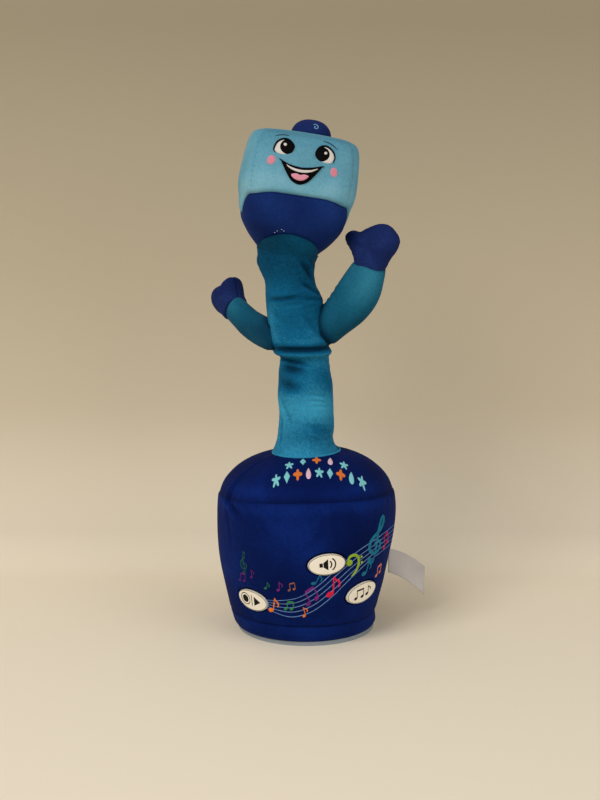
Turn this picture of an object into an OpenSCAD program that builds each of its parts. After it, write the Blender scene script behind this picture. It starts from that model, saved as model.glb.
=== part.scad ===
// Dancing plush spinning-top toy: a padded drum that holds the cells and the drive,
// a jointed spine in a plush sleeve, two stuffed arms and a stuffed square head.
// Millimetres. +Z is up, the front faces -Y, and the origin is the centre of the foot ring's underside.

/* [Base drum] */
// Outer radius of the moulded foot ring
foot_r = 50; // [48:0.5:51]
// Height of the foot ring that shows below the hem
foot_lip_h = 3; // [2:0.5:4.5]
// How far the foot ring stands out from the housing wall
foot_step = 2.6; // [2:0.1:3.2]
// Outer radius of the cover at its hem
hem_r = 51.8; // [51.6:0.2:54]
// Outer radius of the cover at its belly
belly_r = 65.5; // [62:0.5:70]
// Height of the belly above the table
belly_z = 87; // [80:1:95]
// Outer radius of the cover at the shoulder seam
shoulder_r = 62.8; // [60:0.4:65.2]
// Height of the shoulder seam
shoulder_z = 104; // [100:1:112]
// Rise of the domed top above the shoulder seam
dome_h = 24.6; // [22:0.2:28]
// Height of the seam at the top of the hem band
hem_seam_z = 15.5; // [12:0.5:20]
// Thickness of the plush cover
plush_t = 2; // [1.5:0.1:2.5]

/* [Housing] */
// Wall of the tub and the cap
shell_t = 2; // [1.6:0.1:2.4]
// Height of the split between the tub and the cap
tub_h = 24; // [23:0.5:26]
// Height of the cap's flat top
cap_z = 94; // [93:0.5:97]
// Height where the cap's wall turns in
cap_bend_z = 80; // [76:1:86]
// Radius of the cap's flat top
cap_top_r = 37; // [34:0.5:42]
// Height of the bottom plate above the table
plate_z = 2; // [1.5:0.1:2.5]
// Radius of the circle that the housing screws stand on
screw_circle_r = 43; // [42.6:0.1:43.4]

/* [Batteries] */
// Radius of one cell
cell_r = 7.25; // [7:0.05:7.3]
// Length of one cell
cell_l = 50.5; // [49:0.5:50.5]
// Space at each end of the cells for the contacts
contact_room = 4; // [3.5:0.1:4.4]
// Thickness of the battery door
door_t = 2; // [1.6:0.1:2.4]

/* [Drive] */
// Gear module
gear_m = 0.5; // [0.45:0.01:0.52]
// Teeth on each pinion
pinion_teeth = 12; // [12:1:14]
// Teeth on each wheel
wheel_teeth = 48; // [40:4:48]
// Thickness of each wheel
wheel_t = 2.2; // [1.8:0.1:2.4]
// Height of the gearbox floor's underside
gearbox_z = 70.5; // [70:0.5:72]
// Radius of the drive shaft
shaft_r = 2; // [1.6:0.1:2]
// Length of the motor's can
motor_l = 25; // [20:0.5:28]
// Width of the motor's can over its round sides
motor_w = 20; // [18:0.5:21]
// Width of the motor's can over its flats
motor_flat_w = 15; // [13:0.5:16]

/* [Spine] */
// Height of the lowest pivot
stem_z = 128; // [126:1:131]
// Distance between two pivots
pitch = 20; // [19:0.5:22]
// Radius of each ball
ball_r = 9; // [8:0.1:9.2]
// Wall of each socket
socket_t = 2.3; // [1.8:0.1:2.4]
// Radius of the bore for the drive wire
wire_bore_r = 3.5; // [3:0.1:4]
// Radius of the drive wire
drive_wire_r = 1; // [0.7:0.1:1.2]

/* [Sleeve] */
// Radius of a sleeve section at its ends
sleeve_r = 19; // [18:0.2:20]
// How far a section swells at its middle
sleeve_swell = 1.6; // [0.5:0.1:2.5]
// Radius of the round seats between sections
seat_r = 24; // [23:0.2:25.5]
// Radius of the sleeve's round end under the head
neck_r = 20; // [19.6:0.1:21]
// Radius of the sleeve's hem on the drum
stem_hem_r = 24.5; // [23.5:0.2:26]

/* [Arms] */
// Radius of an arm at its elbow
arm_r = 14.4; // [13:0.1:15]
// Radius of an arm where it is sewn into the shoulder
arm_root_r = 12.4; // [11:0.1:12.6]
// Radius of an arm across the wrist
wrist_r = 11.4; // [10:0.1:12]
// Length of an arm from the shoulder to the wrist
arm_l = 47; // [42:0.5:50]
// Distance from the spine to a shoulder
shoulder_reach = 27.2; // [27:0.1:30]
// Height of the shoulders above the fourth pivot
shoulder_h = 31.4; // [29:0.2:32.4]
// Length of a mitten from the wrist
hand_l = 31; // [26:0.5:32]
// Width of a mitten
hand_w = 40; // [35:0.5:41]
// Thickness of a mitten
hand_t = 19; // [15:0.5:21]

/* [Head] */
// Half width of the head at its widest
head_r = 42; // [39:0.5:44]
// Height of the seam between the tapered part and the box
head_seam_z = 43.5; // [40:0.5:46]
// Height of the box above that seam
head_box_h = 44; // [40:0.5:48]
// Height of the tapered part's lower edge above the neck pivot
head_base_z = 8; // [7:0.5:10]
// Radius of the knob
knob_r = 14.5; // [12:0.5:16]
// Height of the knob
knob_h = 13; // [10:0.5:14]
// Turn of the head to its left side
head_turn = 5; // [0:1:8]
// How far the knob sits off the head's middle
knob_off = 3; // [0:0.5:5]

/* [Press buttons] */
// Length of an oval
oval_w = 26.5; // [24:0.5:27]
// Height of an oval
oval_h = 15; // [14.6:0.2:17]
// Travel of a button
button_travel = 1.5; // [1:0.1:1.8]
// Radius of a plunger's stem
plunger_r = 3; // [2.5:0.1:3.2]

/* [Hidden] */

$fn = 64;
over = 1;          // overrun of every cut
fit = 0.06;        // radial clearance of a running fit
press = 0.02;      // radial clearance of a pushed-in pin
soft_gap = 0.4;    // space between soft pieces that move against each other
rest_gap = 0.3;    // space between pieces that only lie side by side

housing_r = foot_r - foot_step;
housing_in_r = housing_r - shell_t;
plate_t = 2.2;
plate_top_z = plate_z + plate_t;
cap_under_z = cap_z - shell_t;

// Battery bay
cell_n = 3;
cell_room = 0.33;
bay_x = cell_n * 2 * (cell_r + cell_room / 2);
bay_y = cell_l + 2 * contact_room;
bay_t = 1.5;
cell_z = plate_top_z + cell_room + cell_r;
bay_roof_z = cell_z + cell_r + cell_room;
door_z = plate_z + plate_t - door_t;
door_side_gap = 0.3;
hinge_r = 1.4;
hinge_pin_r = 1.1;
hinge_pin_l = 1.2;
hinge_y = bay_y / 2 - hinge_r - door_side_gap;
hinge_z = door_z + hinge_r;
tongue_w = 10;
tongue_l = 8;
tongue_t = 3;
door_screw_y = -(bay_y / 2 + bay_t + tongue_l / 2 - 0.4 * bay_t);
door_screw_r = 1.45;
door_screw_head_r = 2.8;
door_screw_head_h = 1.6;
door_boss_r = 4;
door_boss_h = 12;
lead_in = 2;

// Housing screws stand beside the bay, clear of the buttons
screw_angles = [75, -75, 150, -150];
screw_r = 1.4;
screw_head_r = 2.7;
screw_head_h = 2;
screw_seat_z = 12;
screw_l = 16;
column_r = 3.7;
cap_boss_h = 10;

// Slide switch in the underside, behind the bay
switch_w = 12;
switch_d = 5.4;
switch_room = 3.55;
switch_y = bay_y / 2 + bay_t + switch_room + switch_d / 2;
switch_h = 5;
switch_travel = 3.5;
switch_knob_w = 3.4;
switch_knob_d = 2.6;
switch_knob_drop = 0.8;

// Circuit board on four posts
board_z = 34;
board_t = 1.6;
board_x = 50;
board_y = 44;
post_r = 2.6;
post_inset = 4;

// Speaker behind the back wall's holes
speaker_r = 19.5;
speaker_rim_t = 2;
speaker_y = 38;
speaker_z = 58;
speaker_depth = 8;
magnet_r = 10.5;
magnet_t = 6;
cone_t = 0.8;
grille_hole_r = 1.5;
grille_step = 5;

// Gear train: three equal stages round a square, the output at the drum's centre
gear_add_share = 0.92;
gear_ded_share = 1.2;
gear_angle = 25;
backlash = 0.07;
gear_centres = gear_m * (pinion_teeth + wheel_teeth) / 2;
train_pos = [[0, 0], [-gear_centres, 0], [-gear_centres, -gear_centres], [0, -gear_centres]];
gearbox_t = 2;
stage_lift = wheel_t + 1;
first_stage_z = gearbox_z + gearbox_t + 1.5 * gearbox_t / 2;
pinion_over = 0.8;
gear_hub_r = 4.5;
axle_r = 1;
gearbox_wall = 1.5;
gearbox_c = -gear_centres / 2;
gearbox_in_r = gear_centres * sqrt(2) / 2 + gear_m * (wheel_teeth / 2 + gear_add_share) + gearbox_wall;
gearbox_r = gearbox_in_r + gearbox_wall;
gearbox_wall_h = 3 * stage_lift + 2 * gearbox_t;
gearbox_top_z = gearbox_z + gearbox_t + gearbox_wall_h;
gearbox_post_r = 3;
motor_nose_r = 3;
motor_nose_h = 1.6;
motor_shaft_r = 1;
shaft_over_cap = 12;
shaft_top_z = cap_z + shaft_over_cap;
collar_r = 3;
collar_h = 5;

// Spine: three links, a double link that carries the arms, two links and the head's carrier
link_lean = [0, -1, -3, -8.5, -13, -9, 8.5];
torso = 3;
root_flange_r = 15;
root_flange_t = 2.5;
root_tube_r = 6.5;
socket_skirt = 4;
ball_cut = 5.5;
neck_tube_r = 6;
spine_room_r = 12.6;
bend_room_r = 15;
bend_room_z = 8;

// Buttons: [angle from the front, height, tilt of the oval] of each
button_left = [-40.5, 32, -4];
button_middle = [13, 63, 4];
button_right = [41, 38, 9];
oval_t = 2;
oval_proud = 0.6;
flange_r = 6.4;
flange_t = 1.4;
spring_r = 4.6;
spring_wire_r = 0.25;
spring_turns = 5;
guide_r = 5.2;
guide_in = 3;
switch_box = 6;
switch_box_t = 4;
switch_nub_r = 1.6;
switch_nub_h = 0.6;
switch_board_t = 1.2;
bracket_t = 1.6;

// Arms: the right one rises towards the front, the left one lies back and lower
arm_root_angle = [-8, 160];
arm_heading = [-22, 120];
arm_start_angle = [40, 14];
arm_end_angle = [74, 24];
arm_slack_share = [1, 0.65];
wrist_slack_share = [1, 0.76];
arm_flat_share = 0.88;
wrist_flat_share = 0.76;

// Care tag sewn into the right side seam
tag_angle = 97;
tag_z = 46;
tag_w = 18;
tag_l = 31;
tag_t = 0.6;
tag_droop = 13;
tag_curl = 7;

// Head carrier
carrier_disc_r = 16;
carrier_disc_t = 2;
carrier_post_l = 16;

plush_navy = [0.04, 0.09, 0.42];
plush_teal = [0.1, 0.42, 0.55];
plush_sky = [0.38, 0.66, 0.76];
plush_hand = [0.11, 0.17, 0.44];
shell_grey = [0.78, 0.79, 0.8];

// Outer radius of the side cover at a height
function side_r(z) = z < belly_z
    ? hem_r + (belly_r - hem_r) * sin(90 * pow(max(0, z - foot_lip_h) / (belly_z - foot_lip_h), 0.95))
    : belly_r - (belly_r - shoulder_r) * pow((z - belly_z) / (shoulder_z - belly_z), 2);

// Height of the domed top at a radius
function dome_z(r) = shoulder_z + dome_h * pow(max(0, 1 - pow(r / shoulder_r, 2.4)), 0.7);

// Points up the side from one height to another, moved out by a distance
function side_points(from_z, to_z, out, n = 12) =
    [for (i = [0 : n]) let (z = from_z + (to_z - from_z) * i / n) [side_r(z) + out, z]];

// Points over the dome from the shoulder in to a radius, moved down by a distance
function dome_points(from_r, to_r, down, n = 12) =
    [for (i = [0 : n]) let (r = from_r + (to_r - from_r) * (1 - pow(1 - i / n, 1.6))) [r, dome_z(r) - down]];

// Length of a link, and the place of each pivot
function span(i) = i == torso ? 2 * pitch : pitch;
function pivot(i) = i == 0
    ? [0, 0, stem_z]
    : pivot(i - 1) + span(i - 1) * [sin(link_lean[i - 1]), 0, cos(link_lean[i - 1])];

module at_link(i) {
    translate(pivot(i)) rotate([0, link_lean[i], 0]) children();
}

// Direction of a button: x runs out from the drum's axis, z stays up
module at_button(b) {
    translate([0, 0, b[1]]) rotate([0, 0, b[0] - 90]) children();
}

// Place of a shoulder in the frame of the double link, and in the drum's frame
function shoulder_in_link(side) =
    [shoulder_reach * cos(arm_root_angle[side]), shoulder_reach * sin(arm_root_angle[side]), shoulder_h];
function lean_turn(p, a) = [p[0] * cos(a) + p[2] * sin(a), p[1], p[2] * cos(a) - p[0] * sin(a)];
function shoulder_at(side) = pivot(torso) + lean_turn(shoulder_in_link(side), link_lean[torso]);

module at_shoulder(side) {
    translate(shoulder_at(side)) rotate([0, 0, arm_heading[side]]) children();
}

// A closed skin over rings of equally many points, each turning anticlockwise seen from the last one
module skin(rings) {
    n = len(rings[0]);
    m = len(rings);
    sides = [for (j = [0 : m - 2]) for (i = [0 : n - 1])
        let (a = j * n + i, b = j * n + (i + 1) % n) each [[a, a + n, b + n], [a, b + n, b]]];
    ends = [[for (i = [0 : n - 1]) i], [for (i = [n - 1 : -1 : 0]) (m - 1) * n + i]];
    polyhedron(points = [for (ring = rings) each ring], faces = concat(sides, ends));
}

// One ring of a rounded square: the power sets how square it is
function signed_power(v, p) = sign(v) * pow(abs(v), p);
function square_ring(r, power, z, n = 32) = [for (i = [0 : n - 1])
    let (a = 360 * (i + 0.5) / n)
    [r * signed_power(cos(a), 2 / power), r * signed_power(sin(a), 2 / power), z]];

// A tube of n sides round a list of points, each ring square to the way it runs
function unit(v) = v / norm(v);
function way(path, i) = unit(path[min(i + 1, len(path) - 1)] - path[max(i - 1, 0)]);
function tube_rings(path, r, n, side) = [for (i = [0 : len(path) - 1])
    let (w = way(path, i), u = unit(cross(side, w)), v = cross(w, u))
    [for (k = [0 : n - 1]) path[i] + r * (u * cos(360 * k / n) + v * sin(360 * k / n))]];

// Points along a helix that stands on z = 0
function helix(r, turns, length, per_turn = 8) = [for (i = [0 : turns * per_turn])
    [r * cos(360 * i / per_turn), r * sin(360 * i / per_turn), length * i / (turns * per_turn)]];

// Least space between two curls of a wound wire, taken over its points
function least_gap(path, wire_r, apart = 5) = min([for (i = [0 : len(path) - 1 - apart])
    for (j = [i + apart : len(path) - 1]) norm(path[i] - path[j])]) - 2 * wire_r;

module wound_spring(r, wire_r, turns, length) {
    path = helix(r, turns, length);
    echo("least gap in a spring", least_gap(path, wire_r));
    skin(tube_rings(path, wire_r, 6, [0, 0, 1]));
}

module pipe(r_out, r_in, h) {
    difference() {
        cylinder(r = r_out, h = h);
        translate([0, 0, -over]) cylinder(r = r_in, h = h + 2 * over);
    }
}

module block(size) {
    translate([-size[0] / 2, -size[1] / 2, 0]) cube(size);
}

// Involute tooth flanks between the root and the tip
function involute_angle(r, base) = r <= base ? 0 : let (t = acos(base / r)) tan(t) * 180 / PI - t;
function gear_points(teeth) = let (
    pitch_r = gear_m * teeth / 2,
    base = pitch_r * cos(gear_angle),
    root = pitch_r - gear_ded_share * gear_m,
    tip = pitch_r + gear_add_share * gear_m,
    half = 90 / teeth - backlash / pitch_r * 90 / PI + involute_angle(pitch_r, base),
    steps = [root, max(base, root), pitch_r, tip],
    flank = [for (r = steps) [r, half - involute_angle(r, base)]]
) [for (k = [0 : teeth - 1]) let (a = 360 * k / teeth) each concat(
    [for (p = flank) p[0] * [cos(a - p[1]), sin(a - p[1])]],
    [for (i = [len(flank) - 1 : -1 : 0]) flank[i][0] * [cos(a + flank[i][1]), sin(a + flank[i][1])]])];

module gear(teeth, thick, turn = 0) {
    rotate([0, 0, turn]) linear_extrude(height = thick) polygon(gear_points(teeth));
}

// Turn of a gear whose gaps take the teeth of the one before it, which stands at that angle from it
function mesh_turn(before_turn, before_teeth, teeth, angle) =
    angle + 180 - (before_turn - angle) * before_teeth / teeth + 180 / teeth;
stage_z = [for (i = [0 : 2]) first_stage_z + i * stage_lift];
motor_turn = 0;
gear_1_turn = mesh_turn(motor_turn, pinion_teeth, wheel_teeth, 180);
gear_2_turn = mesh_turn(gear_1_turn, pinion_teeth, wheel_teeth, 90);
output_turn = mesh_turn(gear_2_turn, pinion_teeth, wheel_teeth, 0);

module base_tub() {
    color(shell_grey) difference() {
        union() {
            pipe(foot_r, housing_in_r, foot_lip_h);
            pipe(housing_r, housing_in_r, tub_h);
            translate([0, 0, plate_z]) cylinder(r = housing_in_r + shell_t / 2, h = plate_t);
            translate([0, 0, plate_z])
                block([bay_x + 2 * bay_t, bay_y + 2 * bay_t, bay_roof_z + bay_t - plate_z]);
            for (x = [-1, 1], y = [-1, 1])
                translate([x * (board_x / 2 - post_inset), y * (board_y / 2 - post_inset), bay_roof_z])
                    cylinder(r = post_r, h = board_z - bay_roof_z);
            for (a = screw_angles)
                rotate([0, 0, a - 90]) translate([screw_circle_r, 0, plate_z])
                    cylinder(r = column_r, h = tub_h - plate_z - rest_gap);
            translate([0, door_screw_y, plate_z]) cylinder(r = door_boss_r, h = door_boss_h);
            translate([0, door_screw_y, plate_z])
                block([tongue_w + 2 * bay_t, tongue_l + 2 * bay_t, plate_t]);
        }
        translate([0, 0, -over]) block([bay_x, bay_y, bay_roof_z + over]);
        translate([0, door_screw_y, -over])
            block([tongue_w + 2 * door_side_gap, tongue_l + 2 * door_side_gap + bay_t,
                over + door_z + tongue_t + rest_gap]);
        translate([0, door_screw_y, 0])
            cylinder(r = door_screw_r + rest_gap, h = door_z + tongue_t + rest_gap + 2 * lead_in);
        translate([0, hinge_y, hinge_z]) rotate([0, 90, 0])
            translate([0, 0, -(bay_x / 2 + hinge_pin_l + fit)])
            cylinder(r = hinge_pin_r + fit, h = bay_x + 2 * (hinge_pin_l + fit));
        for (a = screw_angles) rotate([0, 0, a - 90]) translate([screw_circle_r, 0, -over]) {
            cylinder(r = screw_head_r + rest_gap, h = screw_seat_z + over);
            cylinder(r = screw_r + rest_gap, h = tub_h + 2 * over);
        }
        translate([0, switch_y, -over])
            block([switch_travel + switch_knob_w + 2 * rest_gap, switch_knob_d + 2 * fit,
                plate_top_z + 2 * over]);
    }
}

module housing_cap() {
    cap_in = [[housing_in_r, tub_h - over], [housing_in_r, cap_bend_z],
        [cap_top_r - shell_t / 2, cap_under_z],
        [0, cap_under_z], [0, tub_h - over]];
    color(shell_grey) difference() {
        union() {
            difference() {
                rotate_extrude() polygon([[0, tub_h], [housing_r, tub_h], [housing_r, cap_bend_z],
                    [cap_top_r, cap_z], [0, cap_z]]);
                rotate_extrude() polygon(cap_in);
            }
            for (a = screw_angles) rotate([0, 0, a - 90]) translate([screw_circle_r, 0, tub_h + rest_gap])
                cylinder(r = column_r, h = cap_boss_h);
            intersection() {
                at_speaker() translate([0, 0, speaker_y - housing_in_r - shell_t / 2])
                    pipe(speaker_r, speaker_r - speaker_rim_t, housing_in_r + shell_t / 2 - speaker_y);
                cylinder(r = housing_in_r + shell_t / 2, h = cap_z);
            }
            for (b = [button_left, button_middle, button_right]) at_button(b) {
                translate([housing_in_r - guide_in, 0, 0]) rotate([0, 90, 0])
                    cylinder(r = guide_r, h = guide_in + shell_t / 2);
                for (side = [-1, 1]) translate([button_board_r(), 0, side * (switch_box / 2 + bracket_t)])
                    translate([0, -switch_box / 2, -bracket_t / 2])
                        cube([housing_in_r + shell_t / 2 - button_board_r(), switch_box, bracket_t]);
            }
        }
        translate([0, 0, cap_under_z - over]) cylinder(r = root_tube_r + rest_gap, h = shell_t + 2 * over);
        for (a = screw_angles) rotate([0, 0, a - 90]) translate([screw_circle_r, 0, tub_h - over])
            cylinder(r = screw_r + press, h = screw_seat_z + screw_l - tub_h + over);
        for (b = [button_left, button_middle, button_right]) at_button(b)
            rotate([0, 90, 0]) translate([0, 0, housing_in_r - guide_in - over])
                cylinder(r = plunger_r + fit, h = guide_in + shell_t + 2 * over);
        for (i = [-2 : 2], j = [-2 : 2]) if (abs(i) + abs(j) < 4)
            translate([i * grille_step, housing_in_r - over - shell_t, speaker_z + j * grille_step])
                rotate([-90, 0, 0]) cylinder(r = grille_hole_r, h = 2 * shell_t + 2 * over);
    }
}

module housing_screws() {
    color("silver") for (a = screw_angles) rotate([0, 0, a - 90]) translate([screw_circle_r, 0, 0]) {
        translate([0, 0, screw_seat_z - screw_head_h]) difference() {
            cylinder(r = screw_head_r, h = screw_head_h);
            translate([0, 0, -over]) for (turn = [0, 90]) rotate([0, 0, turn])
                block([screw_r * 2, screw_head_h / 3, screw_head_h / 2 + over]);
        }
        translate([0, 0, screw_seat_z]) cylinder(r = screw_r, h = screw_l);
    }
}

// Distance between the cells' centre lines, each turned the other way from the last
cell_step = 2 * cell_r + cell_room;
tip_r = 2.6;
tip_h = 1;

module cell_places() {
    for (i = [0 : cell_n - 1])
        translate([(i - (cell_n - 1) / 2) * cell_step, 0, cell_z])
            rotate([i % 2 == 0 ? 90 : -90, 0, 0]) children();
}

module battery_cells() {
    color([0.35, 0.36, 0.4]) cell_places() {
        translate([0, 0, -cell_l / 2]) cylinder(r = cell_r, h = cell_l - tip_h);
        translate([0, 0, cell_l / 2 - tip_h]) cylinder(r = tip_r, h = tip_h);
    }
}

module battery_contacts() {
    plate = 0.4;
    color("silver") cell_places() {
        translate([0, 0, cell_l / 2]) translate([-cell_r * 0.8, -cell_r * 0.8, contact_room - plate])
            cube([cell_r * 1.6, cell_r * 1.6, plate]);
        translate([0, 0, cell_l / 2]) cylinder(r = tip_r, h = contact_room - plate);
        translate([-cell_r * 0.8, -cell_r * 0.8, -cell_l / 2 - contact_room])
            cube([cell_r * 1.6, cell_r * 1.6, plate]);
        translate([0, 0, -cell_l / 2 - contact_room + plate])
            wound_spring(cell_r * 0.5, plate * 0.9, 3, contact_room - 2 * plate);
    }
}

module battery_door() {
    door_x = bay_x - 2 * door_side_gap;
    door_front = -bay_y / 2 + door_side_gap;
    color(shell_grey) difference() {
        union() {
            translate([-door_x / 2, door_front, door_z]) cube([door_x, hinge_y - door_front, door_t]);
            translate([-tongue_w / 2, door_screw_y - tongue_l / 2, door_z])
                cube([tongue_w, door_front - door_screw_y + tongue_l / 2 + door_t, tongue_t]);
            translate([-door_x / 2, hinge_y, hinge_z]) rotate([0, 90, 0]) cylinder(r = hinge_r, h = door_x);
            translate([-bay_x / 2 - hinge_pin_l, hinge_y, hinge_z]) rotate([0, 90, 0])
                cylinder(r = hinge_pin_r, h = bay_x + 2 * hinge_pin_l);
        }
        translate([0, door_screw_y, door_z - over]) {
            cylinder(r = door_screw_head_r + press, h = door_screw_head_h + over);
            cylinder(r = door_screw_r + press, h = tongue_t + 2 * over);
        }
        for (i = [-3 : 3]) translate([0, i * door_t * 3, door_z - over])
            block([door_x / 2, door_t / 2, over + door_t / 4]);
    }
}

module door_screw() {
    color("silver") translate([0, door_screw_y, door_z]) difference() {
        union() {
            cylinder(r = door_screw_head_r, h = door_screw_head_h);
            cylinder(r = door_screw_r, h = tongue_t + rest_gap + lead_in);
        }
        translate([0, 0, -over]) for (turn = [0, 90]) rotate([0, 0, turn])
            block([door_screw_head_r, door_screw_head_h / 3, door_screw_head_h / 2 + over]);
    }
}

module slide_switch() {
    pocket_h = switch_h / 3;
    color([0.15, 0.15, 0.16]) translate([0, switch_y, plate_top_z]) difference() {
        block([switch_w, switch_d, switch_h]);
        translate([0, 0, -over])
            block([switch_travel + switch_knob_w + 4 * rest_gap, switch_knob_d + 4 * fit, pocket_h + over]);
    }
}

module switch_knob() {
    color([0.12, 0.12, 0.13]) translate([-switch_travel / 2, switch_y, plate_z - switch_knob_drop])
        block([switch_knob_w, switch_knob_d, plate_t + switch_knob_drop + switch_h / 3 - rest_gap]);
}

module circuit_board() {
    chip = 7;
    can_r = 3.2;
    mic_r = 3;
    color([0.1, 0.4, 0.2]) translate([0, 0, board_z]) {
        block([board_x, board_y, board_t]);
        translate([-board_x / 4, 0, board_t]) intersection() {
            sphere(r = chip / 2);
            cylinder(r = chip, h = chip);
        }
        translate([board_x / 3, board_y / 4, board_t]) cylinder(r = can_r, h = 2.4 * can_r);
        translate([board_x / 3, -board_y / 4, board_t]) cylinder(r = mic_r, h = mic_r);
        for (i = [-1 : 1]) translate([i * chip, board_y / 2 - chip / 2, board_t])
            block([chip * 0.7, chip * 0.6, chip * 0.7]);
    }
}

module at_speaker() {
    translate([0, speaker_y, speaker_z]) rotate([90, 0, 0]) children();
}

module speaker_basket() {
    wall = speaker_rim_t / 2;
    color([0.2, 0.2, 0.22]) at_speaker() {
        difference() {
            union() {
                cylinder(r = speaker_r, h = speaker_rim_t);
                cylinder(r1 = speaker_r, r2 = magnet_r, h = speaker_depth);
            }
            translate([0, 0, -over]) cylinder(r = speaker_r - speaker_rim_t - wall, h = speaker_rim_t + over);
            translate([0, 0, speaker_rim_t - wall / 2])
                cylinder(r1 = speaker_r - 2.4 * speaker_rim_t, r2 = magnet_r - wall,
                    h = speaker_depth - speaker_rim_t);
        }
        translate([0, 0, speaker_depth]) cylinder(r = magnet_r, h = magnet_t);
    }
}

module speaker_cone() {
    edge = speaker_r - 1.6 * speaker_rim_t;
    color([0.1, 0.1, 0.1]) at_speaker() rotate_extrude() polygon([
        [edge, 0], [edge, cone_t], [magnet_r * 0.7, speaker_rim_t + cone_t], [0, speaker_rim_t / 2 + cone_t],
        [0, speaker_rim_t / 2], [magnet_r * 0.7, speaker_rim_t]
    ]);
}

module motor_can() {
    color("silver") translate([train_pos[3][0], train_pos[3][1], gearbox_z - motor_l]) difference() {
        union() {
            intersection() {
                cylinder(r = motor_w / 2, h = motor_l);
                block([motor_w, motor_flat_w, motor_l]);
            }
            translate([0, 0, motor_l]) cylinder(r = motor_nose_r, h = motor_nose_h);
            translate([0, 0, -motor_nose_h]) cylinder(r = motor_nose_r, h = motor_nose_h);
        }
        translate([0, 0, motor_l - 2 * motor_nose_h])
            cylinder(r = motor_shaft_r + fit, h = 3 * motor_nose_h + over);
    }
}

module motor_pinion() {
    nose = gearbox_z + motor_nose_h;
    color("gold") translate([train_pos[3][0], train_pos[3][1], 0]) {
        translate([0, 0, stage_z[0] - pinion_over / 2]) gear(pinion_teeth, wheel_t + pinion_over, motor_turn);
        translate([0, 0, nose - 2 * motor_nose_h])
            cylinder(r = motor_shaft_r, h = stage_z[0] - nose + 2 * motor_nose_h);
    }
}

module compound_gear(stage, place, turn) {
    difference() {
        translate([place[0], place[1], stage_z[stage]]) {
            gear(wheel_teeth, wheel_t, turn);
            gear(pinion_teeth, stage_lift + wheel_t + pinion_over / 2, turn);
        }
        translate([place[0], place[1], stage_z[stage] - over])
            cylinder(r = axle_r + fit, h = stage_lift + wheel_t + pinion_over + 2 * over);
    }
}

module compound_gear_1() {
    color("ivory") compound_gear(0, train_pos[2], gear_1_turn);
}

module compound_gear_2() {
    color("ivory") compound_gear(1, train_pos[1], gear_2_turn);
}

module output_gear() {
    color("ivory") translate([0, 0, stage_z[2]]) difference() {
        union() {
            gear(wheel_teeth, wheel_t, output_turn);
            cylinder(r = gear_hub_r, h = wheel_t + pinion_over);
        }
        translate([0, 0, -over]) cylinder(r = shaft_r + press, h = wheel_t + pinion_over + 2 * over);
    }
}

module drive_shaft() {
    color("silver") difference() {
        union() {
            translate([0, 0, gearbox_z]) cylinder(r = shaft_r, h = shaft_top_z - gearbox_z);
            translate([0, 0, shaft_top_z - collar_h]) cylinder(r = collar_r, h = collar_h);
        }
        translate([0, 0, shaft_top_z - collar_h]) cylinder(r = drive_wire_r + press, h = collar_h + over);
    }
}

module gearbox_floor() {
    color([0.9, 0.9, 0.88]) difference() {
        translate([gearbox_c, gearbox_c, gearbox_z]) {
            cylinder(r = gearbox_r, h = gearbox_t);
            pipe(gearbox_r, gearbox_in_r, gearbox_t + gearbox_wall_h);
        }
        translate([0, 0, gearbox_z - over]) {
            cylinder(r = shaft_r + fit, h = gearbox_t + 2 * over);
            for (i = [1, 2]) translate(train_pos[i]) cylinder(r = axle_r + press, h = gearbox_t + 2 * over);
            translate(train_pos[3]) cylinder(r = motor_nose_r + press, h = gearbox_t + 2 * over);
        }
    }
}

module gearbox_cover() {
    posts = [[0, 0.8], [0, -0.8], [-0.8, 0]];
    color([0.9, 0.9, 0.88]) difference() {
        translate([gearbox_c, gearbox_c, gearbox_top_z]) {
            cylinder(r = gearbox_r, h = gearbox_t);
            for (p = posts) translate([p[0] * gearbox_r, p[1] * gearbox_r, gearbox_t])
                cylinder(r = gearbox_post_r, h = cap_under_z - gearbox_top_z - gearbox_t);
        }
        translate([0, 0, gearbox_top_z - over]) {
            cylinder(r = shaft_r + fit, h = gearbox_t + 2 * over);
            for (i = [1, 2]) translate(train_pos[i]) cylinder(r = axle_r + press, h = gearbox_t + 2 * over);
        }
    }
}

module gear_axles() {
    color("silver") for (i = [1, 2]) translate([train_pos[i][0], train_pos[i][1], gearbox_z])
        cylinder(r = axle_r, h = gearbox_top_z + gearbox_t - gearbox_z);
}

// The wire runs from the collar up the middle of the spine to the neck
function wire_path() = concat(
    [[0, 0, shaft_top_z - collar_h + press], [0, 0, shaft_top_z], [0, 0, stem_z - ball_r]],
    [for (i = [1 : torso]) pivot(i)],
    [pivot(torso) + (pivot(torso + 1) - pivot(torso)) / 2],
    [for (i = [torso + 1 : 6]) pivot(i)]);

module drive_wire() {
    color("silver") skin(tube_rings(wire_path(), drive_wire_r, 8, [0, 1, 0]));
}

module spine_root() {
    color([0.92, 0.92, 0.9]) difference() {
        union() {
            translate([0, 0, cap_z]) cylinder(r = root_flange_r, h = root_flange_t);
            translate([0, 0, cap_under_z]) cylinder(r = root_tube_r, h = stem_z - cap_under_z);
            translate([0, 0, stem_z]) cut_ball();
        }
        translate([0, 0, cap_under_z - over]) cylinder(r = collar_r + 2 * rest_gap, h = stem_z - cap_under_z);
        translate([0, 0, stem_z - 2 * ball_r]) cylinder(r = wire_bore_r, h = 4 * ball_r);
    }
}

// A ball cut flat on top, with its centre at the origin
module cut_ball() {
    difference() {
        sphere(r = ball_r);
        translate([0, 0, ball_cut]) cylinder(r = 2 * ball_r, h = ball_r);
    }
}

// The cup that snaps over a ball at the origin
module socket() {
    socket_r = ball_r + socket_t;
    difference() {
        intersection() {
            sphere(r = socket_r);
            translate([0, 0, -socket_skirt]) cylinder(r = socket_r, h = 2 * socket_r);
        }
        sphere(r = ball_r + fit);
    }
}

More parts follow.
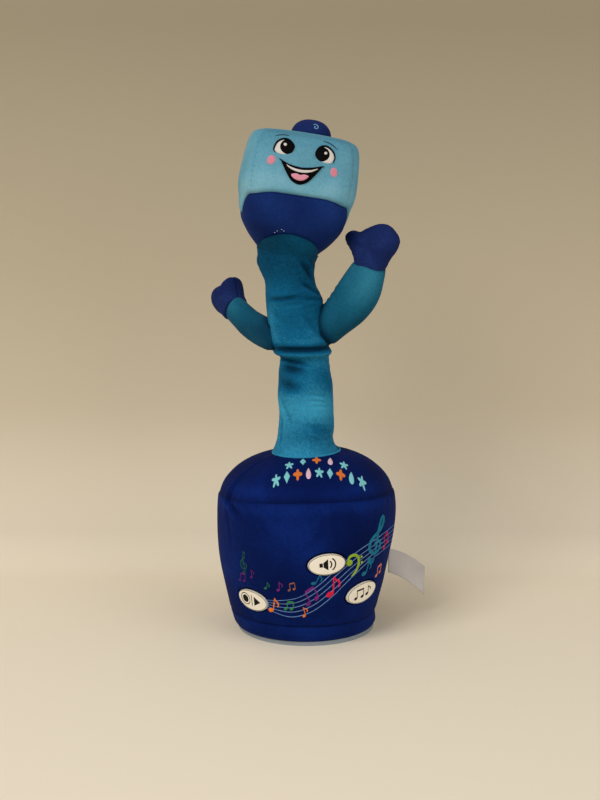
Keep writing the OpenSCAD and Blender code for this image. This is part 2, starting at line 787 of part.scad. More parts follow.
// One hollow link: a socket at the bottom and a ball at the top
module spine_link(length) {
    color([0.92, 0.92, 0.9]) difference() {
        union() {
            socket();
            translate([0, 0, ball_r + socket_t / 2])
                cylinder(r = neck_tube_r, h = length - ball_r - socket_t / 2);
            translate([0, 0, length]) cut_ball();
        }
        translate([0, 0, ball_cut - over]) cylinder(r = wire_bore_r, h = length + ball_r);
    }
}

module spine_link_1() {
    at_link(0) spine_link(span(0));
}

module spine_link_2() {
    at_link(1) spine_link(span(1));
}

module spine_link_3() {
    at_link(2) spine_link(span(2));
}

module spine_link_4() {
    at_link(3) spine_link(span(3));
}

module spine_link_5() {
    at_link(4) spine_link(span(4));
}

module spine_link_6() {
    at_link(5) spine_link(span(5));
}

// Half outline of a stuffed section: swelling sides, a hollow round seat below and a round end above
module section_outline(length, end_r) {
    seat_z = sqrt(seat_r * seat_r - sleeve_r * sleeve_r);
    mid = seat_z + length / 2;
    arc_r = (length * length / 4 + sleeve_swell * sleeve_swell) / (2 * sleeve_swell);
    difference() {
        intersection() {
            translate([sleeve_r + sleeve_swell - arc_r, mid]) circle(r = arc_r, $fn = 128);
            union() {
                translate([spine_room_r, 0]) square([2 * sleeve_r, length + bend_room_z]);
                translate([bend_room_r, 0]) square([2 * sleeve_r, length + seat_r]);
            }
            union() {
                translate([spine_room_r, 0]) square([2 * sleeve_r, length]);
                translate([0, length]) circle(r = end_r);
            }
        }
        circle(r = seat_r + soft_gap);
    }
}

module sleeve_section(length, end_r = seat_r) {
    color(plush_teal) rotate_extrude() section_outline(length, end_r);
}

module sleeve_1() {
    at_link(0) sleeve_section(span(0));
}

module sleeve_2() {
    at_link(1) sleeve_section(span(1));
}

module sleeve_3() {
    at_link(2) sleeve_section(span(2));
}

module sleeve_torso() {
    at_link(torso) difference() {
        sleeve_section(span(torso));
        for (side = [0, 1]) translate(shoulder_in_link(side)) sphere(r = arm_root_r + soft_gap);
    }
}

module sleeve_5() {
    at_link(4) sleeve_section(span(4));
}

module sleeve_6() {
    at_link(5) sleeve_section(span(5), neck_r);
}

module stem_hem() {
    hem_z = dome_z(stem_hem_r) + soft_gap;
    end_z = stem_z + sqrt(seat_r * seat_r - sleeve_r * sleeve_r);
    color(plush_teal) rotate_extrude() intersection() {
        polygon(concat(
            [for (i = [0 : 6]) let (t = i / 6)
                [sleeve_r + (stem_hem_r - sleeve_r) * pow(1 - t, 2), hem_z + (end_z - hem_z) * t]],
            [[sleeve_r, end_z + seat_r], [bend_room_r, end_z + seat_r], [bend_room_r, stem_z + bend_room_z],
                [spine_room_r, stem_z + bend_room_z]],
            [for (i = [0 : 4]) let (r = spine_room_r + (stem_hem_r - spine_room_r) * i / 4)
                [r, dome_z(r) + soft_gap]]));
        translate([0, stem_z]) circle(r = seat_r);
    }
}

// Distance of a button's parts from the drum's axis
function button_board_r() = housing_in_r - guide_in - button_travel - switch_nub_h - switch_box_t
    - 0.2 * switch_box;
function oval_back_r(b) = side_r(b[1] - oval_h / 2) - oval_t - oval_proud;

module oval_prism(b, extra, length) {
    at_button(b) rotate([b[2], 0, 0]) rotate([0, 90, 0])
        linear_extrude(height = length) scale([(oval_h / 2 + extra) / (oval_w / 2 + extra), 1])
            circle(r = oval_w / 2 + extra);
}

// A round band that follows the side cover between two distances from its surface
module side_band(from_z, to_z, inside, outside) {
    rotate_extrude($fn = 96) polygon(concat(side_points(from_z, to_z, outside),
        [for (p = side_points(to_z, from_z, -inside)) p]));
}

module oval(b) {
    color("white") intersection() {
        oval_prism(b, 0, 2 * belly_r);
        side_band(b[1] - oval_w / 2, b[1] + oval_w / 2, oval_t - oval_proud, oval_proud);
    }
}

module oval_left() {
    oval(button_left);
}

module oval_middle() {
    oval(button_middle);
}

module oval_right() {
    oval(button_right);
}

module plunger(b) {
    tip_in_r = housing_in_r - guide_in - button_travel / 2;
    color([0.85, 0.85, 0.85]) at_button(b) rotate([0, 90, 0]) {
        translate([0, 0, tip_in_r]) cylinder(r = plunger_r, h = oval_back_r(b) - flange_t - tip_in_r);
        translate([0, 0, oval_back_r(b) - flange_t]) cylinder(r = flange_r, h = flange_t);
    }
}

module plunger_left() {
    plunger(button_left);
}

module plunger_middle() {
    plunger(button_middle);
}

module plunger_right() {
    plunger(button_right);
}

module button_springs() {
    color("silver") for (b = [button_left, button_middle, button_right]) at_button(b) rotate([0, 90, 0])
        translate([0, 0, housing_r + 2 * spring_wire_r])
            wound_spring(spring_r, spring_wire_r, spring_turns,
                oval_back_r(b) - flange_t - housing_r - 4 * spring_wire_r);
}

module button_switches() {
    color([0.15, 0.15, 0.16]) for (b = [button_left, button_middle, button_right]) at_button(b) {
        box_r = button_board_r();
        translate([box_r - switch_board_t, -switch_box * 0.8, -switch_box / 2 - 2 * bracket_t])
            cube([switch_board_t, switch_box * 1.6, switch_box + 4 * bracket_t]);
        translate([box_r, -switch_box / 2, -switch_box / 2]) cube([switch_box_t, switch_box, switch_box]);
        translate([box_r + switch_box_t, 0, 0]) rotate([0, 90, 0])
            cylinder(r = switch_nub_r, h = switch_nub_h);
    }
}

module base_padding() {
    foot_z = foot_lip_h + plush_t + 2 * rest_gap;
    top_r = shoulder_r - plush_t - rest_gap;
    inner_r = housing_r + rest_gap;
    tube_room = root_tube_r + rest_gap;
    color([0.9, 0.9, 0.9]) difference() {
        rotate_extrude() polygon(concat(
            [[inner_r, foot_z]],
            side_points(foot_z, shoulder_z - plush_t, -plush_t - rest_gap),
            dome_points(top_r - plush_t, spine_room_r + plush_t, plush_t + 2 * rest_gap),
            [[spine_room_r + plush_t, stem_z - ball_r - socket_t],
                [tube_room, stem_z - ball_r - 2 * socket_t],
                [tube_room, cap_z + root_flange_t + rest_gap],
                [root_flange_r + rest_gap, cap_z + root_flange_t + rest_gap],
                [root_flange_r + rest_gap, cap_z + rest_gap], [cap_top_r, cap_z + rest_gap],
                [inner_r, cap_bend_z]]));
        for (b = [button_left, button_middle, button_right]) {
            at_button(b) rotate([0, 90, 0]) cylinder(r = flange_r + 2 * rest_gap, h = 2 * belly_r);
            intersection() {
                oval_prism(b, soft_gap, 2 * belly_r);
                side_band(b[1] - oval_w, b[1] + oval_w, oval_t + button_travel + soft_gap, plush_t);
            }
        }
    }
}

module base_side_cover() {
    color(plush_navy) difference() {
        side_band(hem_seam_z, shoulder_z, plush_t, 0);
        for (b = [button_left, button_middle, button_right]) oval_prism(b, soft_gap, 2 * belly_r);
    }
}

module base_top_cover() {
    inner_edge = spine_room_r + plush_t / 2;
    color(plush_navy) rotate_extrude() polygon(concat(
        dome_points(shoulder_r, inner_edge, 0), dome_points_back(inner_edge)));
}

// The dome's underside, from the spine's hole back out to the shoulder
function dome_points_back(inner_edge) = [for (i = [12 : -1 : 0])
    let (p = dome_points(shoulder_r - plush_t, inner_edge, plush_t)[i]) [p[0], max(p[1], shoulder_z)]];

module hem_band() {
    color(plush_navy) side_band(foot_lip_h + rest_gap, hem_seam_z, plush_t, 0);
}

module care_tag() {
    steps = 8;
    rings = [for (i = [0 : steps]) let (s = i / steps, y = tag_curl * s * s, drop = tag_droop * pow(s, 1.5))
        [for (c = [[-1, -1], [1, -1], [1, 1], [-1, 1]])
            let (z = tag_z + c[1] * tag_w / 2)
            [side_r(z) + rest_gap + tag_l * s, y + c[0] * tag_t / 2, z - drop]]];
    color("white") rotate([0, 0, tag_angle - 90])
        skin([for (ring = rings) [ring[0], ring[1], ring[2], ring[3]]]);
}

// Middle line of an arm: an arc that starts at the shoulder and turns up
function arm_bend_r(side) = arm_l * 180 / PI / (arm_end_angle[side] - arm_start_angle[side]);
function arm_angle(side, s) = arm_start_angle[side] + (arm_end_angle[side] - arm_start_angle[side]) * s;
function arm_at(side, s) = let (from = arm_start_angle[side], to = arm_angle(side, s))
    arm_bend_r(side) * [sin(to) - sin(from), 0, cos(from) - cos(to)];
function arm_ring(place, angle, r, flat, n = 20) = [for (k = [0 : n - 1]) let (a = 360 * k / n)
    place + r * cos(a) * [sin(angle), 0, -cos(angle)] + flat * sin(a) * [0, 1, 0]];
function limb_r(side, s) = let (elbow = arm_r * arm_slack_share[side],
    end = wrist_r * wrist_slack_share[side])
    arm_root_r * (1 - s) + end * s + 4 * (elbow - (arm_root_r + end) / 2) * s * (1 - s);

module arm(side) {
    from = arm_start_angle[side];
    start_way = [cos(from), 0, sin(from)];
    root = [for (a = [-82, -66, -48, -30, -14])
        arm_ring(arm_root_r * sin(a) * start_way, from, arm_root_r * cos(a),
            arm_root_r * cos(a) * arm_flat_share)];
    limb = [for (i = [0 : 8]) let (s = i / 8, r = limb_r(side, s))
        arm_ring(arm_at(side, s), arm_angle(side, s), r,
            r * (arm_flat_share + (wrist_flat_share - arm_flat_share) * s))];
    color(plush_teal) at_shoulder(side) skin(concat(root, limb));
}

// Outline of a mitten about its middle: a broad top lobe and a thumb towards the body
thumb_angle = 172;
thumb_share = 0.48;
notch_angle = 122;
notch_share = 0.2;
lobe_angle = 42;
lobe_share = 0.16;
mitten_share = 1.29;
mitten_middle_share = 0.49;
thumb_spread = 24;
notch_spread = 15;
lobe_spread = 30;
mitten_power = 0.8;
mitten_slants = [-76, -56, -36, -18, 0, 18, 36, 56, 76];
function near(a, middle, width) = exp(-pow((a - middle) / width, 2));
function mitten_r(a) = hand_l / 2 * (1 + thumb_share * near(a, thumb_angle, thumb_spread)
    - notch_share * near(a, notch_angle, notch_spread) + lobe_share * near(a, lobe_angle, lobe_spread));

module hand(side) {
    middle = hand_l * mitten_middle_share;
    n = 30;
    rings = [for (b = mitten_slants) [for (k = [0 : n - 1])
        let (a = 360 * k / n, r = mitten_r(a) * pow(cos(b), mitten_power))
        [r * cos(a) * hand_w / (hand_l * mitten_share), hand_t / 2 * sin(b), max(0, middle + r * sin(a))]]];
    turned = [for (i = [len(rings) - 1 : -1 : 0]) rings[i]];
    color(plush_hand) at_shoulder(side) translate(arm_at(side, 1))
        rotate([0, 90 - arm_end_angle[side], 0]) skin(turned);
}

module arm_right() {
    arm(0);
}

module arm_left() {
    arm(1);
}

module hand_right() {
    hand(0);
}

module hand_left() {
    hand(1);
}

// The head's shape as shares: [height, half width, how square] up each part
taper_shares = [[0, 0.49, 2.1], [0.1, 0.575, 2.2], [0.2, 0.655, 2.3], [0.36, 0.76, 2.6], [0.5, 0.83, 2.9],
    [0.7, 0.885, 3.2], [0.88, 0.92, 3.5], [1, 0.93, 3.7]];
box_shares = [[0, 0.93, 3.8], [0.08, 0.965, 4], [0.2, 0.985, 4.2], [0.36, 0.975, 4.3], [0.54, 0.955, 4.3],
    [0.7, 0.915, 4.2], [0.83, 0.86, 4], [0.92, 0.79, 3.7], [0.975, 0.69, 3.3], [1, 0.5, 2.8]];

module head_form(shares, base, height) {
    rotate([0, 0, head_turn]) skin([for (s = shares) square_ring(head_r * s[1], s[2], base + height * s[0])]);
}

module head_taper() {
    color(plush_navy) at_link(6) difference() {
        head_form(taper_shares, head_base_z, head_seam_z - head_base_z);
        sphere(r = neck_r + soft_gap);
        cylinder(r = neck_tube_r + rest_gap, h = head_seam_z + over);
    }
}

module head_box() {
    room = carrier_disc_t + 2 * rest_gap;
    color(plush_sky) at_link(6) difference() {
        head_form(box_shares, head_seam_z, head_box_h);
        translate([0, 0, head_seam_z - over]) cylinder(r = carrier_disc_r + rest_gap, h = room + over);
        translate([0, 0, head_seam_z - over])
            cylinder(r = neck_tube_r + rest_gap, h = carrier_post_l + over + rest_gap);
    }
}

module head_knob() {
    dome_r = (knob_r * knob_r + knob_h * knob_h) / (2 * knob_h);
    color(plush_hand) at_link(6) translate([knob_off, 0, head_seam_z + head_box_h]) intersection() {
        cylinder(r = knob_r, h = knob_h);
        translate([0, 0, knob_h - dome_r]) sphere(r = dome_r);
    }
}

module head_carrier() {
    color([0.92, 0.92, 0.9]) at_link(6) {
        socket();
        translate([0, 0, ball_r + socket_t / 2])
            cylinder(r = neck_tube_r, h = head_seam_z + carrier_post_l - ball_r - socket_t / 2);
        translate([0, 0, head_seam_z + rest_gap]) cylinder(r = carrier_disc_r, h = carrier_disc_t);
    }
}

base_tub();
housing_cap();
housing_screws();
battery_cells();
battery_contacts();
battery_door();
door_screw();
slide_switch();
switch_knob();
circuit_board();
speaker_basket();
speaker_cone();
motor_can();
motor_pinion();
compound_gear_1();
compound_gear_2();
output_gear();
drive_shaft();
gearbox_floor();
gearbox_cover();
gear_axles();
drive_wire();
spine_root();
button_switches();
button_springs();
plunger_left();
plunger_middle();
plunger_right();
oval_left();
oval_middle();
oval_right();
base_padding();
base_side_cover();
base_top_cover();
hem_band();
care_tag();
stem_hem();
spine_link_1();
spine_link_2();
spine_link_3();
spine_link_4();
spine_link_5();
spine_link_6();
sleeve_1();
sleeve_2();
sleeve_3();
sleeve_torso();
sleeve_5();
sleeve_6();
arm_right();
arm_left();
hand_right();
hand_left();
head_carrier();
head_taper();
head_box();
head_knob();
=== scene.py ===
import math

import bpy
import numpy as np
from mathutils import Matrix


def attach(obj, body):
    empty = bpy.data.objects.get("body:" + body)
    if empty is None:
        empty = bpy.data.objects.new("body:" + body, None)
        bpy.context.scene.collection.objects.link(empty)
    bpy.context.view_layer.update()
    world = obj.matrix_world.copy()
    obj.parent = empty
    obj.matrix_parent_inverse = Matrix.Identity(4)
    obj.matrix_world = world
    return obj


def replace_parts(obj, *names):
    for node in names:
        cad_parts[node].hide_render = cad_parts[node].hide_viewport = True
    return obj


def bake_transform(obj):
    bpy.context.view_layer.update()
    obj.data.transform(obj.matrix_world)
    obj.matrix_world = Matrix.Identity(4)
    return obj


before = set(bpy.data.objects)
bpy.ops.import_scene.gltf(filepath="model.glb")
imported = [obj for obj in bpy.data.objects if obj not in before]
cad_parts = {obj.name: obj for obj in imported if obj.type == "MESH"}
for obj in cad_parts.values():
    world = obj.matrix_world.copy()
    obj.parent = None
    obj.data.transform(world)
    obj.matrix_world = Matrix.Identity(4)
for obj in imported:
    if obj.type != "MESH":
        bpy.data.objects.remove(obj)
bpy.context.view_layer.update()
scene = bpy.context.scene

# Camera: held just under a metre in front of the toy, a little below its face, and tipped down
# so that the whole stem and drum are in view. All lengths in this script are in millimetres
# until a mesh is made.
MM = 0.001
eye_distance = 950.0
eye_height = 318.4
look_down = math.radians(9.0)
look_left = math.radians(0.28)
focal_share = 1330 / 800
film = 36.0
camera = bpy.data.objects.new("camera", bpy.data.cameras.new("camera"))
scene.collection.objects.link(camera)
camera.data.sensor_width = film
camera.data.lens = focal_share * film
camera.data.clip_start = 0.05
camera.location = (0, -eye_distance * MM, eye_height * MM)
camera.rotation_euler = (math.pi / 2 - look_down, 0, look_left)
scene.camera = camera


# Studio: a wide soft lamp up to the left, a weaker one to the right, and an even grey sky.
# They are dim enough for a white to stay under full white.
def soft_lamp(name, place, target, size, power, colour):
    """A square lamp at place that faces target."""
    lamp = bpy.data.lights.new(name, "AREA")
    lamp.shape = "SQUARE"
    lamp.size = size
    lamp.energy = power
    lamp.color = colour
    holder = bpy.data.objects.new(name, lamp)
    scene.collection.objects.link(holder)
    way = np.array(target) - np.array(place)
    holder.location = place
    down = math.atan2(-way[2], math.hypot(way[0], way[1]))
    holder.rotation_euler = (math.pi / 2 - down, 0, math.atan2(-way[0], way[1]))


soft_lamp("key_lamp", (-0.9, -1.15, 1.45), (0, 0, 0.2), 1.0, 19, (1.0, 0.985, 0.96))
soft_lamp("fill_lamp", (1.3, -1.2, 0.9), (0, 0, 0.2), 1.2, 7, (0.95, 0.97, 1.0))
scene.view_settings.view_transform = "Standard"
world = bpy.data.worlds.new("sky")
scene.world = world
world.use_nodes = True
world.node_tree.nodes["Background"].inputs["Color"].default_value = (0.93, 0.92, 0.905, 1)
world.node_tree.nodes["Background"].inputs["Strength"].default_value = 0.50


# Floor and backdrop: one pale cloth-coloured sweep that curves up behind the toy, with painted shade that
# darkens it towards the top.
def shade(text):
    """Linear colour of a hexadecimal sRGB one."""
    share = np.array([int(text[k:k + 2], 16) for k in (1, 3, 5)]) / 255
    linear = np.where(share <= 0.04045, share / 12.92, ((share + 0.055) / 1.055) ** 2.4)
    return (*linear, 1.0)


def put_all(tree, node, inputs):
    """Give each named input of a node its value, or a link where the value is a socket."""
    for name, value in inputs.items():
        if isinstance(value, bpy.types.NodeSocket):
            tree.links.new(value, node.inputs[name])
        else:
            node.inputs[name].default_value = value
    return node


def node_of(tree, kind, inputs=None, **settings):
    """A new node of that kind with its settings and its inputs."""
    node = tree.nodes.new("ShaderNode" + kind)
    for setting, value in settings.items():
        setattr(node, setting, value)
    return put_all(tree, node, inputs or {})


def math_of(tree, kind, first, second, clamp=False):
    """The value of a Math node of that kind on two sockets or numbers."""
    return node_of(tree, "Math", {0: first, 1: second}, operation=kind, use_clamp=clamp).outputs["Value"]


def place_of(tree):
    """Where a point lies in its object, in metres."""
    return node_of(tree, "TexCoord").outputs["Object"]


def finish_of(name):
    """A new material with its node tree and its Principled shader."""
    material = bpy.data.materials.new(name)
    material.use_nodes = True
    return material, material.node_tree, material.node_tree.nodes["Principled BSDF"]


def mesh_of(name, points, faces, corners=None, material=None):
    """An object from points in mm, faces as index lists and, where given, a UV for each corner."""
    mesh = bpy.data.meshes.new(name)
    mesh.from_pydata((np.asarray(points, float) * MM).tolist(), [], faces)
    if corners is not None:
        layer = mesh.uv_layers.new(name="UVMap")
        layer.data.foreach_set("uv", np.asarray(corners, np.float32).ravel())
    mesh.polygons.foreach_set("use_smooth", np.full(len(mesh.polygons), True))
    mesh.update()
    piece = bpy.data.objects.new(name, mesh)
    scene.collection.objects.link(piece)
    if material:
        mesh.materials.append(material)
    return piece


sweep_near = -1300.0
sweep_half = 1500.0
sweep_turn = 115.0
sweep_bend = 120.0
sweep_top = 1100.0
bend_steps = 16
bend = np.linspace(0, math.pi / 2, bend_steps)
sweep_line = np.concatenate([
    [[sweep_near, 0.0]],
    np.stack([sweep_turn + sweep_bend * np.sin(bend), sweep_bend * (1 - np.cos(bend))], 1),
    [[sweep_turn + sweep_bend, sweep_top]]])
sweep_points = [(side * sweep_half, y, z) for y, z in sweep_line for side in (-1, 1)]
sweep_faces = [(2 * k, 2 * k + 1, 2 * k + 3, 2 * k + 2) for k in range(len(sweep_line) - 1)]
paper, paper_tree, paper_shader = finish_of("backdrop_paper")
paper_apart = node_of(paper_tree, "SeparateXYZ", {"Vector": place_of(paper_tree)})
paper_height = node_of(paper_tree, "MapRange",
                       {"Value": paper_apart.outputs["Z"], "From Max": sweep_top * MM})
# painted shade: the ramp runs from the pale floor to a darker wall higher up
paper_tone_and_painted_shade = node_of(paper_tree, "ValToRGB", {"Fac": paper_height.outputs["Result"]})
paper_tone_and_painted_shade.color_ramp.elements[0].color = shade("#F0E4CE")
paper_tone_and_painted_shade.color_ramp.elements[1].position = 0.42
paper_tone_and_painted_shade.color_ramp.elements[1].color = shade("#978B73")
for height, colour in ((0.02, "#DED1BB"), (0.12, "#CABDA5"), (0.22, "#B9AC93")):
    paper_tone_and_painted_shade.color_ramp.elements.new(height).color = shade(colour)
put_all(paper_tree, paper_shader, {"Base Color": paper_tone_and_painted_shade.outputs["Color"], "Roughness": 0.9})
# the camera sees through its back, so that the toy shows from behind too
camera_ray = node_of(paper_tree, "LightPath").outputs["Is Camera Ray"]
back_side = node_of(paper_tree, "NewGeometry").outputs["Backfacing"]
clear = node_of(paper_tree, "BsdfTransparent").outputs["BSDF"]
paper_mix = node_of(paper_tree, "MixShader", {
    "Fac": math_of(paper_tree, "MULTIPLY", camera_ray, back_side), 1: paper_shader.outputs["BSDF"],
    2: clear})
put_all(paper_tree, paper_tree.nodes["Material Output"], {"Surface": paper_mix.outputs["Shader"]})
mesh_of("backdrop_sweep", sweep_points, sweep_faces, material=paper)


# Plush: short knitted pile on every soft piece. The pile leans this way and that, so patches of
# it show lighter or darker, and each tuft casts a grain. Its lift input also carries painted light and
# shade, and its seam input paints shade into the sewn seams. One node group serves all the colours.
def group_of(name, inputs, outputs):
    """An empty node group with named sockets and its two ends. A value of four numbers is a colour."""
    tree = bpy.data.node_groups.new(name, "ShaderNodeTree")
    for label, value in inputs.items():
        kind = "NodeSocketColor" if isinstance(value, tuple) else "NodeSocketFloat"
        tree.interface.new_socket(name=label, in_out="INPUT", socket_type=kind).default_value = value
    for label in outputs:
        kind = "NodeSocketColor" if label == "Color" else "NodeSocketFloat"
        tree.interface.new_socket(name=label, in_out="OUTPUT", socket_type=kind)
    return tree, tree.nodes.new("NodeGroupInput").outputs, tree.nodes.new("NodeGroupOutput")


def noise_of(tree, vector, scale, detail, rough=0.5, distortion=0.0):
    """The factor of a noise texture at that many features a metre."""
    return node_of(tree, "TexNoise", {"Scale": scale, "Detail": detail, "Roughness": rough,
                                      "Distortion": distortion, "Vector": vector}).outputs["Fac"]


def mix_of(tree, factor, first, second, blend="MIX"):
    """The colour between two others at that factor."""
    return node_of(tree, "Mix", {"Factor": factor, "A": first, "B": second},
                   data_type="RGBA", blend_type=blend).outputs["Result"]


def bump_of(tree, height, strength, depth):
    """The normal of a relief from a height, that many metres deep."""
    return node_of(tree, "Bump",
                   {"Strength": strength, "Distance": depth, "Height": height}).outputs["Normal"]


def swing_of(tree, texture, width):
    """A texture's swing about nothing, that wide."""
    return math_of(tree, "MULTIPLY", math_of(tree, "SUBTRACT", texture, 0.5), width)


tufts_per_m = 1500.0
clumps_per_m = 520.0
patches_per_m = 46.0
grey, black, white = (0.5, 0.5, 0.5, 1), (0, 0, 0, 1), (1, 1, 1, 1)
pile, pile_in, pile_out = group_of(
    "plush_pile", {"Against the nap": black, "Across the nap": grey, "With the nap": white, "Lift": 0.5,
                   "Patches": 0.5, "Seam": 0.0}, ("Color", "Roughness", "Height"))
pile_where = place_of(pile)
tufts = noise_of(pile, pile_where, tufts_per_m, 2.0, 0.6)
clumps = noise_of(pile, pile_where, clumps_per_m, 3.0, 0.6)
patches = noise_of(pile, pile_where, patches_per_m, 3.0, 0.55, 0.7)
swing = math_of(pile, "ADD", swing_of(pile, patches, pile_in["Patches"]), swing_of(pile, clumps, 0.34))
swing = math_of(pile, "ADD", swing, swing_of(pile, tufts, 0.6))
nap_share = math_of(pile, "ADD", swing, pile_in["Lift"], clamp=True)
nap_low = math_of(pile, "MULTIPLY", nap_share, 2.0, clamp=True)
nap_high = math_of(pile, "SUBTRACT", math_of(pile, "MULTIPLY", nap_share, 2.0), 1.0, clamp=True)
nap_colour = mix_of(pile, nap_low, pile_in["Against the nap"], pile_in["Across the nap"])
nap_colour = mix_of(pile, nap_high, nap_colour, pile_in["With the nap"])
# painted shade: the seam input multiplies a grey into the colour along the sewn seams
put_all(pile, pile_out, {
    "Color": mix_of(pile, pile_in["Seam"], nap_colour, (0.42, 0.42, 0.46, 1), "MULTIPLY"),
    "Roughness": math_of(pile, "ADD", math_of(pile, "MULTIPLY", tufts, 0.3), 0.62),
    "Height": math_of(pile, "ADD", tufts, math_of(pile, "MULTIPLY", clumps, 1.2))})


def finish_from(name, group, values, strength, depth, shine, attributes=()):
    """A material whose colour, relief and any roughness come from a node group. Attributes of the
    mesh feed the group's inputs of the same name."""
    material, tree, shader = finish_of(name)
    look = node_of(tree, "Group", values, node_tree=group)
    for label in attributes:
        reader = node_of(tree, "Attribute", attribute_name=label.lower())
        put_all(tree, look, {label: reader.outputs["Fac"]})
    normal = bump_of(tree, look.outputs["Height"], strength, depth)
    put_all(tree, shader, {"Base Color": look.outputs["Color"], "Normal": normal, **shine})
    if "Roughness" in look.outputs:
        put_all(tree, shader, {"Roughness": look.outputs["Roughness"]})
    return material


def plush(name, dark, middle, light, patches=0.5, sheen=0.08):
    """Plush of three shades, from against to with the nap. A vertex attribute lift moves between
    them and carries the nap's tone together with painted light and shade, and an attribute seam
    darkens the sewn lines with painted shade."""
    shades = {"Against the nap": shade(dark), "Across the nap": shade(middle), "With the nap": shade(light)}
    return finish_from(name, pile, {**shades, "Patches": patches}, 0.5, 0.0005, {
        "Sheen Weight": sheen, "Sheen Roughness": 0.35, "Sheen Tint": shade(light),
        "Specular IOR Level": 0.05}, ("Lift", "Seam"))


drum_plush = plush("drum_plush", "#010B38", "#031852", "#0D2C7C", 0.42, 0.14)


# Side of the drum: one band of navy plush round the padding, sewn up at the left and right, a
# little gathered under the shoulder seam, and with a pocket under each of the three ovals.
foot_z = 3.3
hem_z = 15.5
shoulder_z = 104.0
belly_z = 87.0
foot_r = 51.8
belly_swell = 13.7
belly_r = foot_r + belly_swell
shoulder_draw = 1.6
dome_top = 131.2
plush_t = 1.8
front = -math.pi / 2


def hill(distance, width):
    """A round bump: one at distance zero, and near zero from twice the width."""
    return np.exp(-(distance / width) ** 2)


def step(value, start, end):
    """Zero before start, one after end, and a smooth ramp between them."""
    share = np.clip((value - start) / (end - start), 0, 1)
    return share * share * (3 - 2 * share)


def unevenness(turn, height, seed, waves=9, most_turns=6, longest=60.0):
    """Hand-made unevenness of about -1 to 1: cosines with whole waves round the piece and
    seeded slants and phases along it, added up."""
    rng = np.random.default_rng(seed)
    total = np.zeros(np.broadcast(turn, height).shape)
    for _ in range(waves):
        around = rng.integers(1, most_turns + 1)
        along = rng.uniform(-1, 1) * 2 * math.pi / longest
        total = total + np.cos(around * turn + along * height + rng.uniform(0, 2 * math.pi))
    return total / waves ** 0.5


def side_r(z):
    """Radius of the drum: a quarter sine wave up to the belly, then drawn in by a square."""
    up = np.clip((z - 3) / (belly_z - 3), 0, 1) ** 0.95
    over = (z - belly_z) / (shoulder_z - belly_z)
    low = foot_r + belly_swell * np.sin(math.pi / 2 * up)
    return np.where(z < belly_z, low, belly_r - shoulder_draw * over ** 2)


def seam_height(turn):
    """Height of the shoulder seam: highest in front, lowest at the left."""
    return shoulder_z - 0.875 + np.cos(turn - front) + 1.25 * np.cos(turn) - 1.875 * np.cos(2 * turn)


ovals = {"left": (-40.5, 32.0, -4.0), "middle": (13.0, 63.0, 4.0), "right": (41.0, 38.0, 9.0)}
oval_long = 26.5
oval_high = 15.0
pocket_gap = 0.4
pocket_depth = 3.4


def off_front(turn, angle=0.0):
    """How far an angle lies from the front, or from a place that far round, within half a turn."""
    return (turn - front - angle + math.pi) % (2 * math.pi) - math.pi


def pocket(turn, z):
    """How far the cover dips under the ovals: the distance outside each ellipse, ramped down."""
    dip = np.zeros(np.broadcast(turn, z).shape)
    for angle, height, tilt in ovals.values():
        across = off_front(turn, math.radians(angle)) * side_r(height)
        up = z - height
        c, s = math.cos(math.radians(tilt)), math.sin(math.radians(tilt))
        along, over = across * c + up * s, up * c - across * s
        reach = np.hypot(along / (oval_long / 2), over / (oval_high / 2))
        outside = (reach - 1) * oval_high / 2 * np.hypot(along, over) / np.maximum(
            np.hypot(along * oval_high / oval_long, over), 0.1)
        outside = np.minimum((reach - 1) * oval_high / 2, outside)
        dip = np.maximum(dip, pocket_depth * (1 - step(outside, pocket_gap, pocket_gap + 0.9)))
    return dip


def side_dent(turn, z):
    """Where the padding is slack: the lower right side lies in by a few millimetres, and the hem
    sits a little to the left."""
    away = (turn + math.pi) % (2 * math.pi) - math.pi
    slack = 3.0 * hill(away, 0.55) * step(z, 4, 14) * (1 - step(z, 40, 92))
    return slack + 0.9 * np.cos(turn) * (1 - step(z, 12, 40))


def gathers(turn, under):
    """Small puckers under a seam: waves of uneven depth that fade with the distance under it."""
    depth = 0.35 + 0.25 * unevenness(turn, 0, 4, waves=6, most_turns=9)
    wave = np.cos(41 * turn + 2.5 * np.sin(3 * turn))
    return depth * wave * np.exp(-under / 6.5) * (1 - np.exp(-under / 1.5))


pleat_start = (math.radians(-66) + front, 104.0)
pleat_end = (math.radians(-46) + front, 93.0)
# smaller creases of the side: from angle and height to angle and height, and the depth
side_creases = [
    ((-2.25, 100), (-2.12, 84), 0.5), ((-1.62, 101), (-1.66, 88), 0.45), ((-1.28, 102), (-1.20, 78), 0.6),
    ((-0.72, 101), (-0.78, 86), 0.5), ((-2.62, 100), (-2.5, 70), 0.6), ((-1.95, 30), (-1.2, 19), 0.4)]


def crease(turn, z, radius, start, end, width, depth, roll=0.5):
    """A fold in cloth along a straight line from start to end, each a turn and a height: a valley
    across it, with a soft roll on its lower side, which runs out at both ends."""
    ax, az = start[0] * radius, start[1]
    bx, bz = end[0] * radius, end[1]
    px, pz = turn * radius, z
    length = math.hypot(bx - ax, bz - az)
    ux, uz = (bx - ax) / length, (bz - az) / length
    along = ((px - ax) * ux + (pz - az) * uz) / length
    across = (pz - az) * ux - (px - ax) * uz
    fade = step(along, -0.12, 0.22) * (1 - step(along, 0.78, 1.12))
    valley = 0.55 * hill(across, width) + 0.45 * np.exp(-np.abs(across) / (0.7 * width))
    return depth * fade * (valley - roll * hill(across + 1.9 * width, 1.3 * width))


